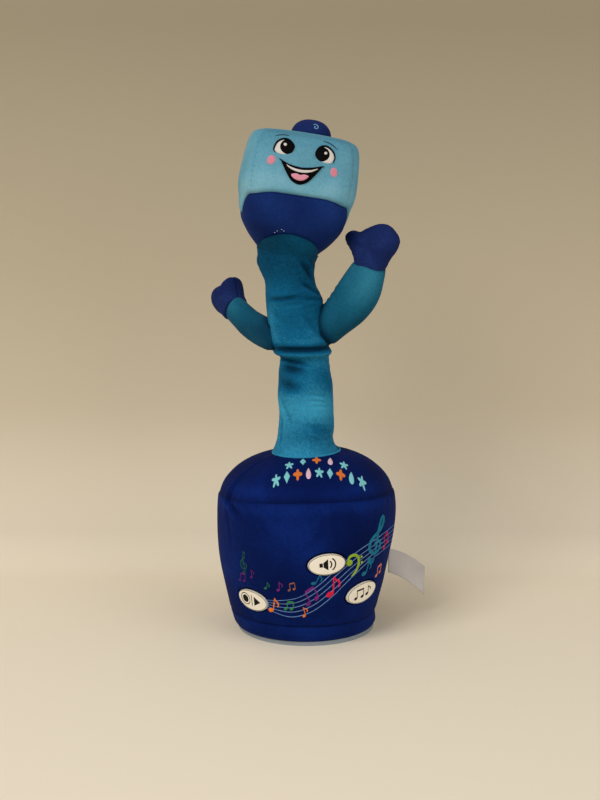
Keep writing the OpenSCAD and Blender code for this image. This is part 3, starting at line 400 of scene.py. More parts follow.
def cover_r(turn, z):
    """Radius of the drum's side with its seam groove, puckers, dents and pockets."""
    under = np.maximum(seam_height(turn) - z, 0)
    groove = 1.1 * hill(under, 1.1) + 0.8 * hill(z - hem_z, 0.9)
    seams = 0.55 * hill(np.sin(turn), 0.018)
    wrapped = off_front(turn) + front
    folds = crease(wrapped, z, belly_r, pleat_start, pleat_end, 1.6, 2.4)
    for start, end, depth in side_creases:
        folds = folds + crease(wrapped, z, belly_r, start, end, 2.0, depth)
    soft = 0.45 * unevenness(turn, z, 11, most_turns=5, longest=70) * step(z, 16, 30)
    return side_r(z) + soft - groove - seams + gathers(turn, under) - folds - side_dent(turn, z)


def round_points(r, turn, z):
    """Points at a radius, an angle and a height."""
    return np.stack(np.broadcast_arrays(r * np.cos(turn), r * np.sin(turn), z), -1)


def on_cover(turn, z, lift=0.0, pockets=True):
    """Points on the drum's side, lift above the pile."""
    r = cover_r(turn, z) + lift
    if pockets:
        r = r - pocket(turn, z)
    return round_points(r, turn, z)


def grid_faces(rows, cols, round_rows, round_cols):
    """Quads of a grid, as an array of corner numbers, outward where columns run left round."""
    i = np.arange(rows if round_rows else rows - 1)[:, None]
    j = np.arange(cols if round_cols else cols - 1)[None, :]
    up, right = (i + 1) % rows, (j + 1) % cols
    corners = (i * cols + j, i * cols + right, up * cols + right, up * cols + j)
    return np.stack(np.broadcast_arrays(*corners), -1).reshape(-1, 4)


def grid_corners(rows, cols, faces):
    """UV of each face corner: share round the piece and share up it, without a jump at the join."""
    v, u = np.divmod(faces, cols)
    u = np.where(u - u[:, :1] < -cols / 2, u + cols, u)
    v = np.where(v - v[:, :1] < -rows / 2, v + rows, v)
    return np.stack([u / cols, v / rows], -1)


def cloth_grid(name, grid, material, round_rows=False, round_cols=True, caps=(False, False), marks=None):
    """A piece from a grid of points. Caps close its first or last row to one point at the row's middle.
    Marks are attributes, one number for each point of the grid."""
    rows, cols = grid.shape[:2]
    points = grid.reshape(-1, 3)
    faces = grid_faces(rows, cols, round_rows, round_cols)
    corners = grid_corners(rows, cols, faces).reshape(-1, 2)
    face_list = faces.tolist()
    values = {mark: np.broadcast_to(value, (rows, cols)).ravel() for mark, value in (marks or {}).items()}
    for end, row in enumerate((0, rows - 1)):
        if not caps[end]:
            continue
        middle = len(points)
        points = np.concatenate([points, grid[row].mean(0)[None]])
        ring = row * cols + np.arange(cols)
        after = row * cols + (np.arange(cols) + 1) % cols
        fan = [ring, np.full(cols, middle), after] if end == 0 else [ring, after, np.full(cols, middle)]
        face_list += np.stack(fan, 1).tolist()
        share = (np.arange(cols) + 0.5) / cols
        edge = np.stack([np.stack([share, np.full(cols, float(end))], 1)] * 3, 1)
        corners = np.concatenate([corners, edge.reshape(-1, 2)])
        values = {mark: np.append(value, value[ring].mean()) for mark, value in values.items()}
    piece = mesh_of(name, points, face_list, corners, material)
    for mark, value in values.items():
        layer = piece.data.attributes.new(mark, "FLOAT", "POINT")
        layer.data.foreach_set("value", np.asarray(value, np.float32))
    return piece


def turns(count):
    """Angles once round, left round, as a row."""
    return np.linspace(0, 2 * math.pi, count, endpoint=False)[None, :]


def shell_of(outer, inner):
    """Rows of a closed band of cloth: up its outside, then down its inside."""
    return np.concatenate([outer, inner[::-1]])


def band_of(name, outer, inner, material, lift, seam):
    """A closed band of cloth between two grids. Its two rims are creased, so the outside is shaded
    right up to the edge."""
    rows, cols = outer.shape[:2]
    lift, seam = (np.broadcast_to(value, (rows, cols)) for value in (lift, seam))
    piece = cloth_grid(name, shell_of(outer, inner), material, round_rows=True,
                       marks={"lift": shell_of(lift, lift), "seam": shell_of(seam, seam)})
    ends = np.empty(len(piece.data.edges) * 2, np.int32)
    piece.data.edges.foreach_get("vertices", ends)
    row = ends.reshape(-1, 2) // cols
    rim = (row[:, 0] == row[:, 1]) & np.isin(row[:, 0], (0, rows - 1, rows, 2 * rows - 1))
    creased = piece.data.attributes.new("sharp_edge", "BOOLEAN", "EDGE")
    creased.data.foreach_set("value", rim)
    return piece


side_cols = 440
side_rows = 104
around = turns(side_cols)
up_share = np.linspace(0, 1, side_rows)[:, None]
side_z = hem_z + (seam_height(around) - hem_z) * up_share
side_out = on_cover(around, side_z)
side_in = on_cover(around, side_z, -plush_t)
# painted shade in the grooves of the shoulder seam, the hem seam and the two side seams
side_seam_shade = np.maximum(0.4 * hill(seam_height(around) - side_z, 0.7), 0.6 * hill(side_z - hem_z, 0.7))
side_seam_shade = np.maximum(side_seam_shade, 0.45 * hill(np.sin(around), 0.02))
# lightness of the side's pile: random unevenness, a painted highlight on the ridge just under the shoulder
# seam, and painted shade down in the pleat
side_nap_and_painted_light = 0.50 + 0.16 * hill(seam_height(around) - side_z - 4, 4) + 0.12 * unevenness(around, side_z, 5)
side_nap_and_painted_light = side_nap_and_painted_light - 0.14 * crease(
    off_front(around) + front, side_z, belly_r, pleat_start, pleat_end, 2.0, 2.4)
drum_side = band_of("drum_side_cover", side_out, side_in, drum_plush, side_nap_and_painted_light, side_seam_shade)
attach(drum_side, "base")
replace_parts(drum_side, "base_side_cover", "base_padding")


# Top of the drum: a round of the same plush, sewn to the side in the shoulder seam. It rises to
# the foot of the stem, a little higher on its right, and its cut edge lies under the stem's hem.
def dome_point(turn, share, lift=0.0):
    """Point at a share of the way out from the middle: a flat-topped power curve over the seam."""
    edge_z = seam_height(turn)
    edge_r = cover_r(turn, edge_z)
    soft = 0.5 * unevenness(turn, 30 * share, 21, most_turns=4) * 4 * share * (1 - share)
    slant = (0.8 + np.cos(turn)) * 4 * share * (1 - share)
    inside = (1 - share) * edge_r
    tuck = 0.8 * hill(inside, 1.2) * (1 - hill(inside, 0.5))
    rise = np.clip(1 - share ** 2.5, 0, 1) ** 0.63
    z = edge_z + (dome_top - edge_z) * rise + soft + slant - tuck + gathers(turn, inside)
    return round_points(edge_r * share, turn, z + lift)


def rim_share(count, inner, outer):
    """Shares from outer to inner, closer together at the outer edge, where the dome is steep."""
    t = np.linspace(0, 1, count)[:, None]
    return outer - (outer - inner) * t ** 1.6


dome_rows = 60
dome_share = rim_share(dome_rows, 0.33, 1.0)
dome_out = dome_point(around, dome_share)
dome_in = dome_point(around, dome_share * (1 - plush_t / belly_r), -plush_t)
dome_inside = (1 - dome_share) * belly_r
# painted shade in the groove of the shoulder seam
dome_seam_shade = 0.5 * hill(dome_inside, 0.9)
# lightness of the top's pile: darker than the side, random unevenness, and a painted highlight on the ridge
# just inside the shoulder seam
dome_nap_and_painted_highlight = 0.34 + 0.20 * hill(dome_inside - 3.0, 3.5) + 0.1 * unevenness(around, 40 * dome_share, 6)
drum_top = band_of("drum_top_cover", dome_out, dome_in, drum_plush, dome_nap_and_painted_highlight, dome_seam_shade)
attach(drum_top, "base")
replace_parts(drum_top, "base_top_cover")


# Hem of the drum: a plain band of plush folded in over the edge of the moulded foot and sewn
# to the side cover, with a seam all round.
hem_rows = 22
hem_share = np.linspace(0, 1, hem_rows)[:, None]
hem_height = foot_z + (hem_z - foot_z) * hem_share
roll_in = 1.3 * hill(hem_height - foot_z, 1.6)
hem_wave = 0.3 * unevenness(around, hem_height, 31, most_turns=9) * 4 * hem_share * (1 - hem_share)
hem_r = side_r(hem_height) - 0.9 * hill(hem_z - hem_height, 1.1) - roll_in + hem_wave
hem_r = hem_r - side_dent(around, hem_height) - 0.25 * hill(hem_height - foot_z - 3.6, 0.5)
hem_inner = hem_r - plush_t + 0.6 * hill(hem_height - foot_z, 1.6)
hem_out = round_points(hem_r, around, hem_height)
hem_in = round_points(hem_inner, around, hem_height)
# painted shade in the seam at the top of the hem and in the groove near its foot
hem_seam_shade = 0.8 * hill(hem_z - hem_height, 1.0) + 0.35 * hill(hem_height - foot_z - 3.6, 0.6)
hem_lift = 0.62 + 0.1 * unevenness(around, hem_height, 32)
drum_hem = band_of("drum_hem_band", hem_out, hem_in, drum_plush, hem_lift, hem_seam_shade)
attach(drum_hem, "base")
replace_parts(drum_hem, "hem_band")


# Stem: a sleeve of teal plush pulled over the jointed spine, from its hem on the drum up to the
# head. It is slack, so it creases where the links bend. One surface serves it all, cut halfway
# along each link. The torso's length is attached to the torso; the others stay where they are made.
stem_plush = plush("stem_plush", "#012C46", "#0B5C82", "#3B9CC0", 0.30)

# height, middle and radius up the sleeve
stem_line = [
    (126.5, 0.0, 25.8), (129.5, -0.1, 24.9), (132.0, -0.4, 23.6), (135.0, -0.8, 22.0),
    (140.0, -1.0, 20.4), (147.0, -0.4, 20.2), (159.0, -0.3, 19.6), (172.0, -0.9, 20.1),
    (181.0, -0.7, 19.8), (190.0, -1.3, 19.0), (195.5, -1.3, 18.3), (199.6, -1.6, 18.1),
    (201.8, -3.0, 20.3), (205.0, -3.5, 21.1), (212.0, -5.3, 20.6), (219.0, -7.0, 19.7),
    (226.0, -8.1, 19.4), (234.0, -8.6, 19.8), (241.0, -8.9, 20.2), (246.0, -10.3, 19.2),
    (250.5, -11.4, 18.3), (255.0, -12.3, 18.2), (259.0, -13.2, 18.7), (263.5, -13.9, 19.9),
    (268.0, -14.3, 20.8), (272.0, -14.1, 21.0), (277.0, -13.2, 20.8)]
# its depth is a little less than its width, and its creases are laid out on a mean radius
stem_depth = 0.98
stem_mean_r = 20.0


def smooth_through(where, places, values):
    """Smooth line through points: cubics whose slope at each point is that of its two neighbours."""
    places, values = np.asarray(places, float), np.asarray(values, float)
    slopes = np.gradient(values, places)
    k = np.clip(np.searchsorted(places, where, side="right") - 1, 0, len(places) - 2)
    gap = places[k + 1] - places[k]
    t = np.clip((where - places[k]) / gap, 0, 1)
    return ((2 * t ** 3 - 3 * t ** 2 + 1) * values[k] + (t ** 3 - 2 * t ** 2 + t) * gap * slopes[k]
            + (3 * t ** 2 - 2 * t ** 3) * values[k + 1] + (t ** 3 - t ** 2) * gap * slopes[k + 1])


def table_line(where, table, column):
    """Smooth line through one column of a table whose first column is the height."""
    return smooth_through(where, [row[0] for row in table], [row[column] for row in table])


# each crease: from angle and height to angle and height, its width and its depth. The angles
# are in degrees from the front.
stem_creases = [
    ((-58, 241.3), (12, 243.9), 1.3, 2.1), ((8, 243.9), (82, 240.6), 1.4, 1.3),
    ((28, 272.0), (66, 255.0), 1.9, 1.9), ((30, 253.5), (82, 243.5), 1.5, 1.9),
    ((48, 279.0), (84, 261.0), 1.6, 1.3), ((-72, 275.0), (-70, 255.0), 1.8, 1.3),
    ((-62, 206.2), (98, 207.0), 1.8, 3.6), ((-86, 200.6), (6, 196.2), 1.4, 2.5),
    ((-52, 193.6), (0, 190.5), 3.2, 1.8), ((-60, 182.5), (-12, 178.0), 3.0, 1.2),
    ((10, 175.0), (48, 172.2), 1.1, 0.9), ((14, 170.6), (54, 168.0), 1.1, 0.8),
    ((22, 166.6), (62, 164.6), 1.0, 0.6), ((-64, 171.0), (-30, 152.0), 2.2, 1.0),
    ((-64, 156.0), (-60, 136.0), 1.2, 1.6), ((5, 152.0), (70, 145.0), 2.6, 0.7),
    ((20, 232.0), (66, 213.0), 2.2, 0.9), ((-60, 233.0), (-10, 224.0), 2.6, 0.5),
    ((95, 250.0), (170, 244.0), 1.7, 1.7), ((120, 240.0), (205, 247.0), 1.5, 1.6),
    ((100, 207.0), (190, 202.0), 1.8, 2.8), ((170, 200.5), (262, 205.0), 1.7, 2.5),
    ((110, 188.0), (185, 191.5), 1.8, 1.5), ((150, 172.0), (235, 167.0), 1.8, 1.3),
    ((90, 158.0), (150, 163.5), 1.7, 1.1), ((185, 150.0), (255, 145.5), 1.7, 1.2),
    ((130, 264.0), (215, 268.5), 1.8, 1.5), ((205, 233.0), (255, 226.0), 2.2, 1.1),
    ((118, 143.0), (150, 131.0), 1.4, 1.1), ((205, 141.0), (222, 130.0), 1.4, 1.1)]


def stem_folds(turn, z):
    """How deep the creases are at each point."""
    relative = (turn - front + math.pi / 2) % (2 * math.pi) - math.pi / 2
    depth = np.zeros(np.broadcast(turn, z).shape)
    for start, end, width, deep in stem_creases:
        start, end = (math.radians(start[0]), start[1]), (math.radians(end[0]), end[1])
        for whole in (0.0, 2 * math.pi):
            depth = depth + crease(relative - whole, z, stem_mean_r, start, end, width, deep, roll=0.42)
    return depth


def stem_r(turn, z):
    """Radius of the sleeve: the smooth line, hand-made unevenness, small ring wrinkles and creases."""
    r = table_line(z, stem_line, 2)
    r = r + 0.45 * unevenness(turn, z, 41, most_turns=4, longest=45) * step(z, 127, 136)
    wave = unevenness(turn, z, 42, most_turns=2, longest=200)
    r = r + 0.13 * np.sin(z * 1.35 + 2.2 * wave) * (0.5 + 0.5 * unevenness(turn, z, 43, most_turns=3)) ** 2
    return r - stem_folds(turn, z)


def stem_point(turn, z, inward=0.0):
    """Points on the sleeve, inward of its pile."""
    middle = table_line(z, stem_line, 1)
    r = stem_r(turn, z) - inward
    return np.stack(np.broadcast_arrays(middle + r * np.cos(turn), stem_depth * r * np.sin(turn), z), -1)


# painted shade on the pile at each height: light at the foot and darker up to the top
painted_shade_line = [(122, 0.80), (128, 0.72), (135, 0.68), (143, 0.62), (152, 0.66), (163, 0.83), (171, 0.74),
            (178, 0.54), (184, 0.47), (190, 0.52), (197, 0.58), (203, 0.46), (208, 0.38), (214, 0.50),
            (224, 0.47), (234, 0.44), (241, 0.38), (246, 0.37), (256, 0.28), (268, 0.21), (290, 0.18)]

# spots of painted shade and light on the pile, in its dents and beside its creases, and where it
# is stroked another way: angle from the front, height, half its angle, half its height, and how much
# lighter
nap_and_painted_light_spots = [
    (-30, 194, 26, 5, -0.42), (-36, 181, 24, 6, -0.28), (0, 207, 80, 2.6, -0.36),
    (-25, 241, 30, 2.0, -0.16), (52, 262, 18, 12, -0.14), (-5, 237.5, 45, 2.6, 0.15),
    (-5, 211.5, 60, 2.6, 0.14), (30, 170, 24, 12, 0.16), (-60, 148, 14, 12, 0.10),
    (20, 148, 34, 7, -0.12), (-62, 222, 14, 14, 0.10), (30, 225, 30, 10, -0.06), (150, 195, 40, 8, -0.2),
    (200, 175, 40, 10, -0.14), (130, 165, 30, 10, 0.14), (190, 225, 40, 12, -0.1)]


def stem_nap_and_painted_light(turn, z):
    """Lightness of the pile: the painted shade of the line above, the spots above, random unevenness, and
    painted shade down in the creases.
    """
    base = table_line(z, painted_shade_line, 1)
    relative = np.degrees(turn - front + math.pi / 2) % 360 - 90
    for angle, height, wide, high, lighter in nap_and_painted_light_spots:
        base = base + lighter * hill((relative - angle) / wide, 1) * hill((z - height) / high, 1)
    return base + 0.06 * unevenness(turn, z, 44, most_turns=3, longest=50) - 0.11 * stem_folds(turn, z)


links = ["spine_1", "spine_2", "spine_3", "torso", "spine_5", "spine_6", "head"]
pivots = [(0.0, 128.0), (0.0, 148.0), (-0.35, 168.0), (-1.40, 187.97), (-7.31, 227.53), (-11.81, 247.02),
          (-14.94, 266.77)]
cuts = [138.0, 158.0, 178.0, 208.5, 237.3, 257.0]
stem_nodes = ["stem_hem", "sleeve_1", "sleeve_2", "sleeve_3", "sleeve_torso", "sleeve_5", "sleeve_6"]
stem_cols = 176
stem_around = turns(stem_cols)
sleeve_t = 1.5
sleeve_step = 0.85
hem_share_r = 24.4 / 63.8


def sleeve_length(name, number, low, high):
    """One length of the sleeve between two heights, each a number or a row of them."""
    rows = int(np.mean(high - low) / sleeve_step) + 2
    z = np.broadcast_to(low + (high - low) * np.linspace(0, 1, rows)[:, None], (rows, stem_cols))
    outer, inner = stem_point(stem_around, z), stem_point(stem_around, z, sleeve_t)
    lift = stem_nap_and_painted_light(stem_around, z)
    # painted shade along the sleeve's seam at the back
    seam = 0.5 * hill((stem_around - math.pi / 2 - 0.25) * 20, 0.7)
    piece = band_of(name, outer, inner, stem_plush, lift, seam)
    if links[number - 1] == "torso":
        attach(piece, "torso")
    else:
        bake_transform(piece)
    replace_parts(piece, stem_nodes[number])
    return piece


hem_on_dome = dome_point(stem_around, hem_share_r)[..., 2]
sleeve_length("stem_sleeve_foot", 0, hem_on_dome - 0.2, cuts[0])
for number in range(1, 6):
    sleeve_length(f"stem_sleeve_{number}", number, cuts[number - 1], cuts[number])


# Tuck inside the torso's sleeve: a strip of the same plush behind the cut at its top, so that no
# gap opens there when the neck tips by its two degrees.
tuck_z = cuts[4] + np.linspace(-3.5, 3.5, 8)[:, None]
tuck = band_of("stem_sleeve_tuck", stem_point(stem_around, tuck_z, sleeve_t + 0.2),
               stem_point(stem_around, tuck_z, sleeve_t + 0.8), stem_plush, 0.3, 0.0)
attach(tuck, "torso")


# Foot of the stem: the sleeve's raw edge is turned under and sewn down on the drum with a close
# row of stitches in its own colour, so a soft rolled lip lies on the dome.
lip_rows = 14
lip_turn = np.linspace(0, 2 * math.pi, lip_rows, endpoint=False)[:, None]
lip_r = 0.75 + 0.10 * unevenness(stem_around, 0, 51, most_turns=16)
lip_middle = dome_point(stem_around, hem_share_r + 0.004)
lip_out = np.stack([np.cos(stem_around), np.sin(stem_around)], -1)
lip_grid = np.concatenate([
    lip_middle[..., :2] + lip_out * (lip_r * np.cos(lip_turn))[..., None],
    (lip_middle[..., 2] + 0.35 + lip_r * np.sin(lip_turn))[..., None]], -1)
lip = cloth_grid("stem_foot_lip", lip_grid[::-1], stem_plush, round_rows=True,
                 marks={"lift": 0.8, "seam": 0.0})
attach(lip, "base")


# Arms: stuffed tubes of teal plush, flatter at the wrist than at the shoulder, sewn shut into the
# sides of the sleeve. Each lies in an upright plane through its shoulder; upper and lower are its
# two edges in that plane, from inside the sleeve to the wrist.
arm_plush = plush("arm_plush", "#063750", "#145873", "#2E7891", 0.30)
arms = {
    "right": dict(shoulder=(20.60, -3.79, 223.01), heading=-22.0, rise=0.5,
                  half_t=(9.0, 10.8, 11.8, 12.2, 11.0, 9.0),
                  upper=[(-19, 10), (-10.2, 14.4), (-4.4, 19.0), (3.0, 29.8), (8.4, 38.0), (13.5, 45.2)],
                  lower=[(-16, -15), (-3.6, -15.0), (8.0, -7.2), (22.4, 4.2), (32.2, 18.8), (37.1, 39.4)]),
    "left": dict(shoulder=(-31.32, 9.30, 215.25), heading=120.0, rise=0.25,
                 half_t=(7.5, 8.2, 8.6, 8.8, 8.2, 7.4),
                 upper=[(-16, 9), (-7, 11.8), (5.0, 13.2), (16.0, 15.4), (28.0, 19.6), (39.4, 23.8)],
                 lower=[(-20, -10), (-11, -11.4), (7.0, -9.2), (24.0, -4.8), (38.0, 0.6), (50.6, 5.4)])}


def arm_frame(arm):
    """Shoulder, the level way the arm's plane faces, the way across the plane, and up."""
    heading = math.radians(arm["heading"])
    return (np.array(arm["shoulder"]), np.array([math.cos(heading), math.sin(heading), 0.0]),
            np.array([-math.sin(heading), math.cos(heading), 0.0]), np.array([0.0, 0.0, 1.0]))


def in_plane(arm, level, up, across=0.0):
    """Points from distances along, up and across an arm's plane."""
    shoulder, way, side, high = arm_frame(arm)
    parts = np.broadcast_arrays(level, up, across)
    return shoulder + parts[0][..., None] * way + parts[1][..., None] * high + parts[2][..., None] * side


arm_rows = 76
arm_cols = 96
arm_around = turns(arm_cols)


def arm_grid(arm):
    """Ellipses between the two edges: cosine towards the lower edge, sine across the plane, with
    wrinkles on the inner side of the bend and a pinch at the shoulder seam."""
    knots = np.arange(len(arm["upper"]))
    s = np.linspace(0, len(knots) - 1, arm_rows)
    upper = np.stack([smooth_through(s, knots, [p[k] for p in arm["upper"]]) for k in (0, 1)], -1)
    lower = np.stack([smooth_through(s, knots, [p[k] for p in arm["lower"]]) for k in (0, 1)], -1)
    half = smooth_through(s, knots, arm["half_t"])[:, None]
    middle, reach = (upper + lower) / 2, (lower - upper) / 2
    share = (s / s[-1])[:, None]
    swell = 1 + 0.018 * unevenness(arm_around, 60 * share, 61, most_turns=3)
    inner_side = np.clip(-np.cos(arm_around), 0, 1) ** 2
    wrinkle = 0.018 * np.cos(75 * share + 1.5 * np.sin(arm_around)) * inner_side
    wrinkle = wrinkle * step(share, 0.25, 0.4) * (1 - step(share, 0.5, 0.7))
    swell = swell - wrinkle - 0.03 * hill(share - 1.0, 0.02)
    for _ in range(2):
        a, b = np.cos(arm_around) * swell, np.sin(arm_around) * swell
        points = in_plane(arm, middle[:, :1] + reach[:, :1] * a, middle[:, 1:] + reach[:, 1:] * a, half * b)
        outside = sleeve_distance(points)
        swell = swell * (1 - 0.05 * hill(outside - 1.2, 1.6))
    return points, share, outside


def sleeve_distance(points):
    """How far points lie outside the sleeve's smooth line."""
    middle, radius = (table_line(points[..., 2], stem_line, column) for column in (1, 2))
    return np.hypot(points[..., 0] - middle, points[..., 1] / stem_depth) - radius


for side_name, arm in arms.items():
    grid, share, outside = arm_grid(arm)
    # lightness of the arm's pile: lighter towards the wrist, random unevenness, and painted shade: darker
    # on one face of the arm, along its lower edge near the shoulder, and a painted shadow next to the
    # sleeve
    lift = 0.36 + 0.34 * step(share, 0.45, 1.0) - 0.14 * np.sin(arm_around) - 0.34 * hill(outside - 1, 4.5)
    lift = lift - 0.20 * np.clip(np.cos(arm_around), 0, 1) * (1 - step(share, 0.5, 0.9))
    lift = lift + 0.08 * unevenness(arm_around, 50 * share, 62, most_turns=4)
    # painted shade where the arm meets the sleeve and the mitten, and along the arm's seams
    seam = 1.0 * hill(outside - 0.6, 1.2) + 0.85 * hill(share - 1.0, 0.012)
    seam = seam + 0.35 * hill(np.sin(arm_around), 0.05) * step(outside, 1, 3)
    piece = cloth_grid(f"stuffed_arm_{side_name}", grid, arm_plush, caps=(True, True),
                       marks={"lift": lift, "seam": seam})
    shoulder, way = arm_frame(arm)[:2]
    ahead = way + (0.0, 0.0, arm["rise"])
    ahead = ahead / np.linalg.norm(ahead)
    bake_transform(piece)
    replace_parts(piece, f"arm_{side_name}")


# Mittens: two pieces of navy plush sewn together round the edge and stuffed, with the thumb
# towards the body. The open wrist end is slipped into the arm and caught in the wrist seam.
hand_plush = plush("hand_plush", "#0B1845", "#19295C", "#2C4284", 0.36)

# outlines from the wrist, thumb side first: across the hand, and along it
hands = {
    "right": dict(wrist=(25.3, 42.3), along=76.0, thumb_bend=-5.0, outline=[
        (-11.6, 0.0), (-16.4, 6.0), (-21.8, 10.9), (-23.8, 15.8), (-20.2, 20.2), (-13.4, 21.0),
        (-7.6, 25.4), (0.6, 30.6), (8.6, 30.4), (16.6, 23.8), (16.8, 16.0), (13.6, 8.0), (11.6, 0.0),
        (9.0, -8.0), (0.0, -10.0), (-9.0, -8.0)]),
    "left": dict(wrist=(45.0, 14.6), along=33.0, thumb_bend=0.0, outline=[
        (-10.6, 0.0), (-13.6, 4.0), (-17.2, 8.2), (-19.0, 12.4), (-17.4, 16.2), (-12.6, 17.2),
        (-8.2, 19.4), (-2.6, 25.6), (4.0, 29.6), (10.6, 29.4), (14.8, 23.8), (14.6, 14.0), (12.0, 6.4),
        (10.6, 0.0), (8.4, -8.0), (0.0, -10.0), (-8.4, -8.0)])}


def closed_line(points, count):
    """Closed smooth line through points, at even steps of point number."""
    points = np.asarray(points, float)
    wrapped = np.concatenate([points[-3:], points, points[:3]])
    places = np.arange(len(wrapped)) - 3.0
    s = np.linspace(0, len(points), count, endpoint=False)
    return np.stack([smooth_through(s, places, wrapped[:, k]) for k in range(points.shape[1])], -1)


hand_cols = 160
hand_rows = 49
hand_half_t = 9.6


def mitten_grid(arm, hand):
    """A pillow on the outline: the outline drawn in by a power of a cosine, the thickness a sine,
    with a groove along the seam, small puckers beside it, cut off straight at the wrist and its
    thumb bent a little to one side."""
    line = closed_line(hand["outline"], hand_cols)
    core = np.array([-1.0, 13.0])
    tilt = np.linspace(-math.pi / 2 * 0.97, math.pi / 2 * 0.97, hand_rows)[:, None]
    count = np.arange(hand_cols)[None, :]
    puckers = 0.010 * np.sin(count * 1.1) * hill(np.abs(tilt) - 0.45, 0.2)
    draw = np.cos(tilt) ** 0.62 * (1 - 0.025 * hill(tilt, 0.10)) * (1 + puckers)
    flat = core + (line[None, :, :] - core) * draw[..., None]
    flat[..., 1] = np.maximum(flat[..., 1], -0.4 + 0.12 * flat[..., 1])
    thin = np.clip(1 - np.hypot(line[:, 0] - core[0], line[:, 1] - core[1]) / 14.0, 0, 1)
    thick = hand_half_t * np.sin(tilt) * (1 - 0.25 * thin[None, :])
    thick = thick - hand["thumb_bend"] * step(-flat[..., 0], 6, 20)
    along = math.radians(hand["along"])
    ahead = np.array([math.cos(along), math.sin(along)])
    across = np.array([math.sin(along), -math.cos(along)])
    spot = np.array(hand["wrist"]) + flat[..., :1] * across + flat[..., 1:] * ahead
    return in_plane(arm, spot[..., 0], spot[..., 1], thick), tilt


for side_name, hand in hands.items():
    grid, tilt = mitten_grid(arms[side_name], hand)
    lift = 0.45 + 0.12 * unevenness(turns(hand_cols), 20 * tilt, 71, most_turns=4)
    # the seam mark paints shade along the mitten's edge seam
    piece = cloth_grid(f"mitten_{side_name}", grid, hand_plush, caps=(True, True),
                       marks={"lift": lift, "seam": 0.7 * hill(tilt, 0.07)})
    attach(piece, f"arm_{side_name}")
    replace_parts(piece, f"hand_{side_name}")


# Head: a stuffed square box of sky plush over a tapered navy part. Four side panels and a top
# panel are sewn together, and the navy part is let in with a seam that runs level across the
# front and dips at the sides. It leans to the right and is turned a little to its left.
head_plush = plush("head_plush", "#437B90", "#659EB3", "#8ABBC9", 0.40)
taper_plush = plush("taper_plush", "#08184A", "#102861", "#1F3C82", 0.36)
head_pivot = np.array([-14.94, 0.0, 266.77])
head_lean = math.radians(8.5)
head_turn = math.radians(5.0)

# height over the neck pivot, half width, and how square the section is
head_line = [
    (8.0, 20.6, 2.1), (11.6, 24.2, 2.2), (15.1, 27.6, 2.3), (20.8, 31.9, 2.6), (25.8, 34.9, 2.9),
    (32.9, 37.2, 3.2), (39.2, 38.4, 3.5), (43.5, 39.0, 3.7), (47.0, 39.8, 4.0), (52.3, 40.5, 4.2),
    (59.3, 40.4, 4.4), (67.3, 39.9, 4.5), (75.3, 39.2, 4.5), (82.0, 38.2, 4.3), (86.0, 36.6, 4.1),
    (88.7, 33.6, 3.8), (90.3, 28.6, 3.4)]
head_foot_z = 8.0
box_top = 90.3
top_seam_z = 88.4
corner_r = 50.0


def square_r(turn, half, power):
    """Distance from the middle of a rounded square to its edge at each angle."""
    return half / (np.abs(np.cos(turn)) ** power + np.abs(np.sin(turn)) ** power) ** (1 / power)


def head_seam(turn):
    """Height of the seam between box and taper: high and flat in front, low on both sides."""
    face = np.abs(np.sin(turn))
    return 30.5 + 14.8 * step(face, 0.22, 0.73) + 3.2 * step(face, 0.70, 0.94)


def head_r(turn, z):
    """Radius of the head at an angle and height: rounded square, soft unevenness, seam grooves."""
    half, power = (table_line(z, head_line, column) for column in (1, 2))
    r = square_r(turn, half, power)
    r = r + 0.45 * unevenness(turn, z, 81, most_turns=4, longest=60) * step(z, 10, 20)
    r = r - 1.0 * hill(z - head_seam(turn), 1.5)
    corner = np.abs(turn % (math.pi / 2) - math.pi / 4)
    ribs = (0.6 + 0.25 * np.cos(1.9 * z)) * hill(corner * corner_r, 1.3) * step(z, 44, 50)
    return r - ribs - 0.35 * hill(z - top_seam_z, 0.9)


def head_place(local):
    """From the head's own frame to the toy's: turned about its axis, leaned over, set on the neck."""
    c, s = math.cos(head_turn), math.sin(head_turn)
    x, y, z = local[..., 0] * c - local[..., 1] * s, local[..., 0] * s + local[..., 1] * c, local[..., 2]
    c, s = math.cos(head_lean), math.sin(head_lean)
    return head_pivot + np.stack([x * c + z * s, y, z * c - x * s], -1)


def head_point(turn, z, inward=0.0):
    """Points of the head's skin."""
    r = head_r(turn, z) - inward
    return head_place(round_points(r, turn, z))


head_cols = 256
head_around = turns(head_cols)
taper_rows = 56
taper_top = head_seam(head_around)
taper_z = head_foot_z + (taper_top - head_foot_z) * np.linspace(0, 1, taper_rows)[:, None]
# painted shade in the seam to the boxed part
taper_seam_shade = 0.8 * hill(taper_z - taper_top, 1.2)
taper_lift = 0.40 + 0.12 * unevenness(head_around, taper_z, 82) + 0.12 * step(taper_z, 20, 44)
head_taper = cloth_grid("head_tapered_part", head_point(head_around, taper_z), taper_plush,
                        caps=(True, True),
                        marks={"lift": taper_lift, "seam": taper_seam_shade})
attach(head_taper, "head")
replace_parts(head_taper, "head_taper")

box_rows = 84
crown_rows = 18
crown_rise = 1.6
box_z = taper_top + (box_top - taper_top) * np.linspace(0, 1, box_rows)[:, None]
crown_share = np.linspace(1, 0.04, crown_rows + 1)[1:, None]
crown_r = square_r(head_around, head_line[-1][1], head_line[-1][2]) * crown_share
crown_z = box_top + crown_rise * (1 - crown_share ** 2)
crown = head_place(round_points(crown_r, head_around, crown_z))
box_grid = np.concatenate([head_point(head_around, box_z), crown])
corner_far = np.abs(head_around % (math.pi / 2) - math.pi / 4)
# painted shade in the seams to the tapered part and the top panel, and in the corner seams
box_seam_shade = 0.7 * hill(box_z - taper_top, 1.1) + 0.14 * hill(box_z - top_seam_z, 0.8)
box_seam_shade = np.maximum(box_seam_shade, 0.16 * hill(corner_far * corner_r, 0.9) * step(box_z, 44, 50))
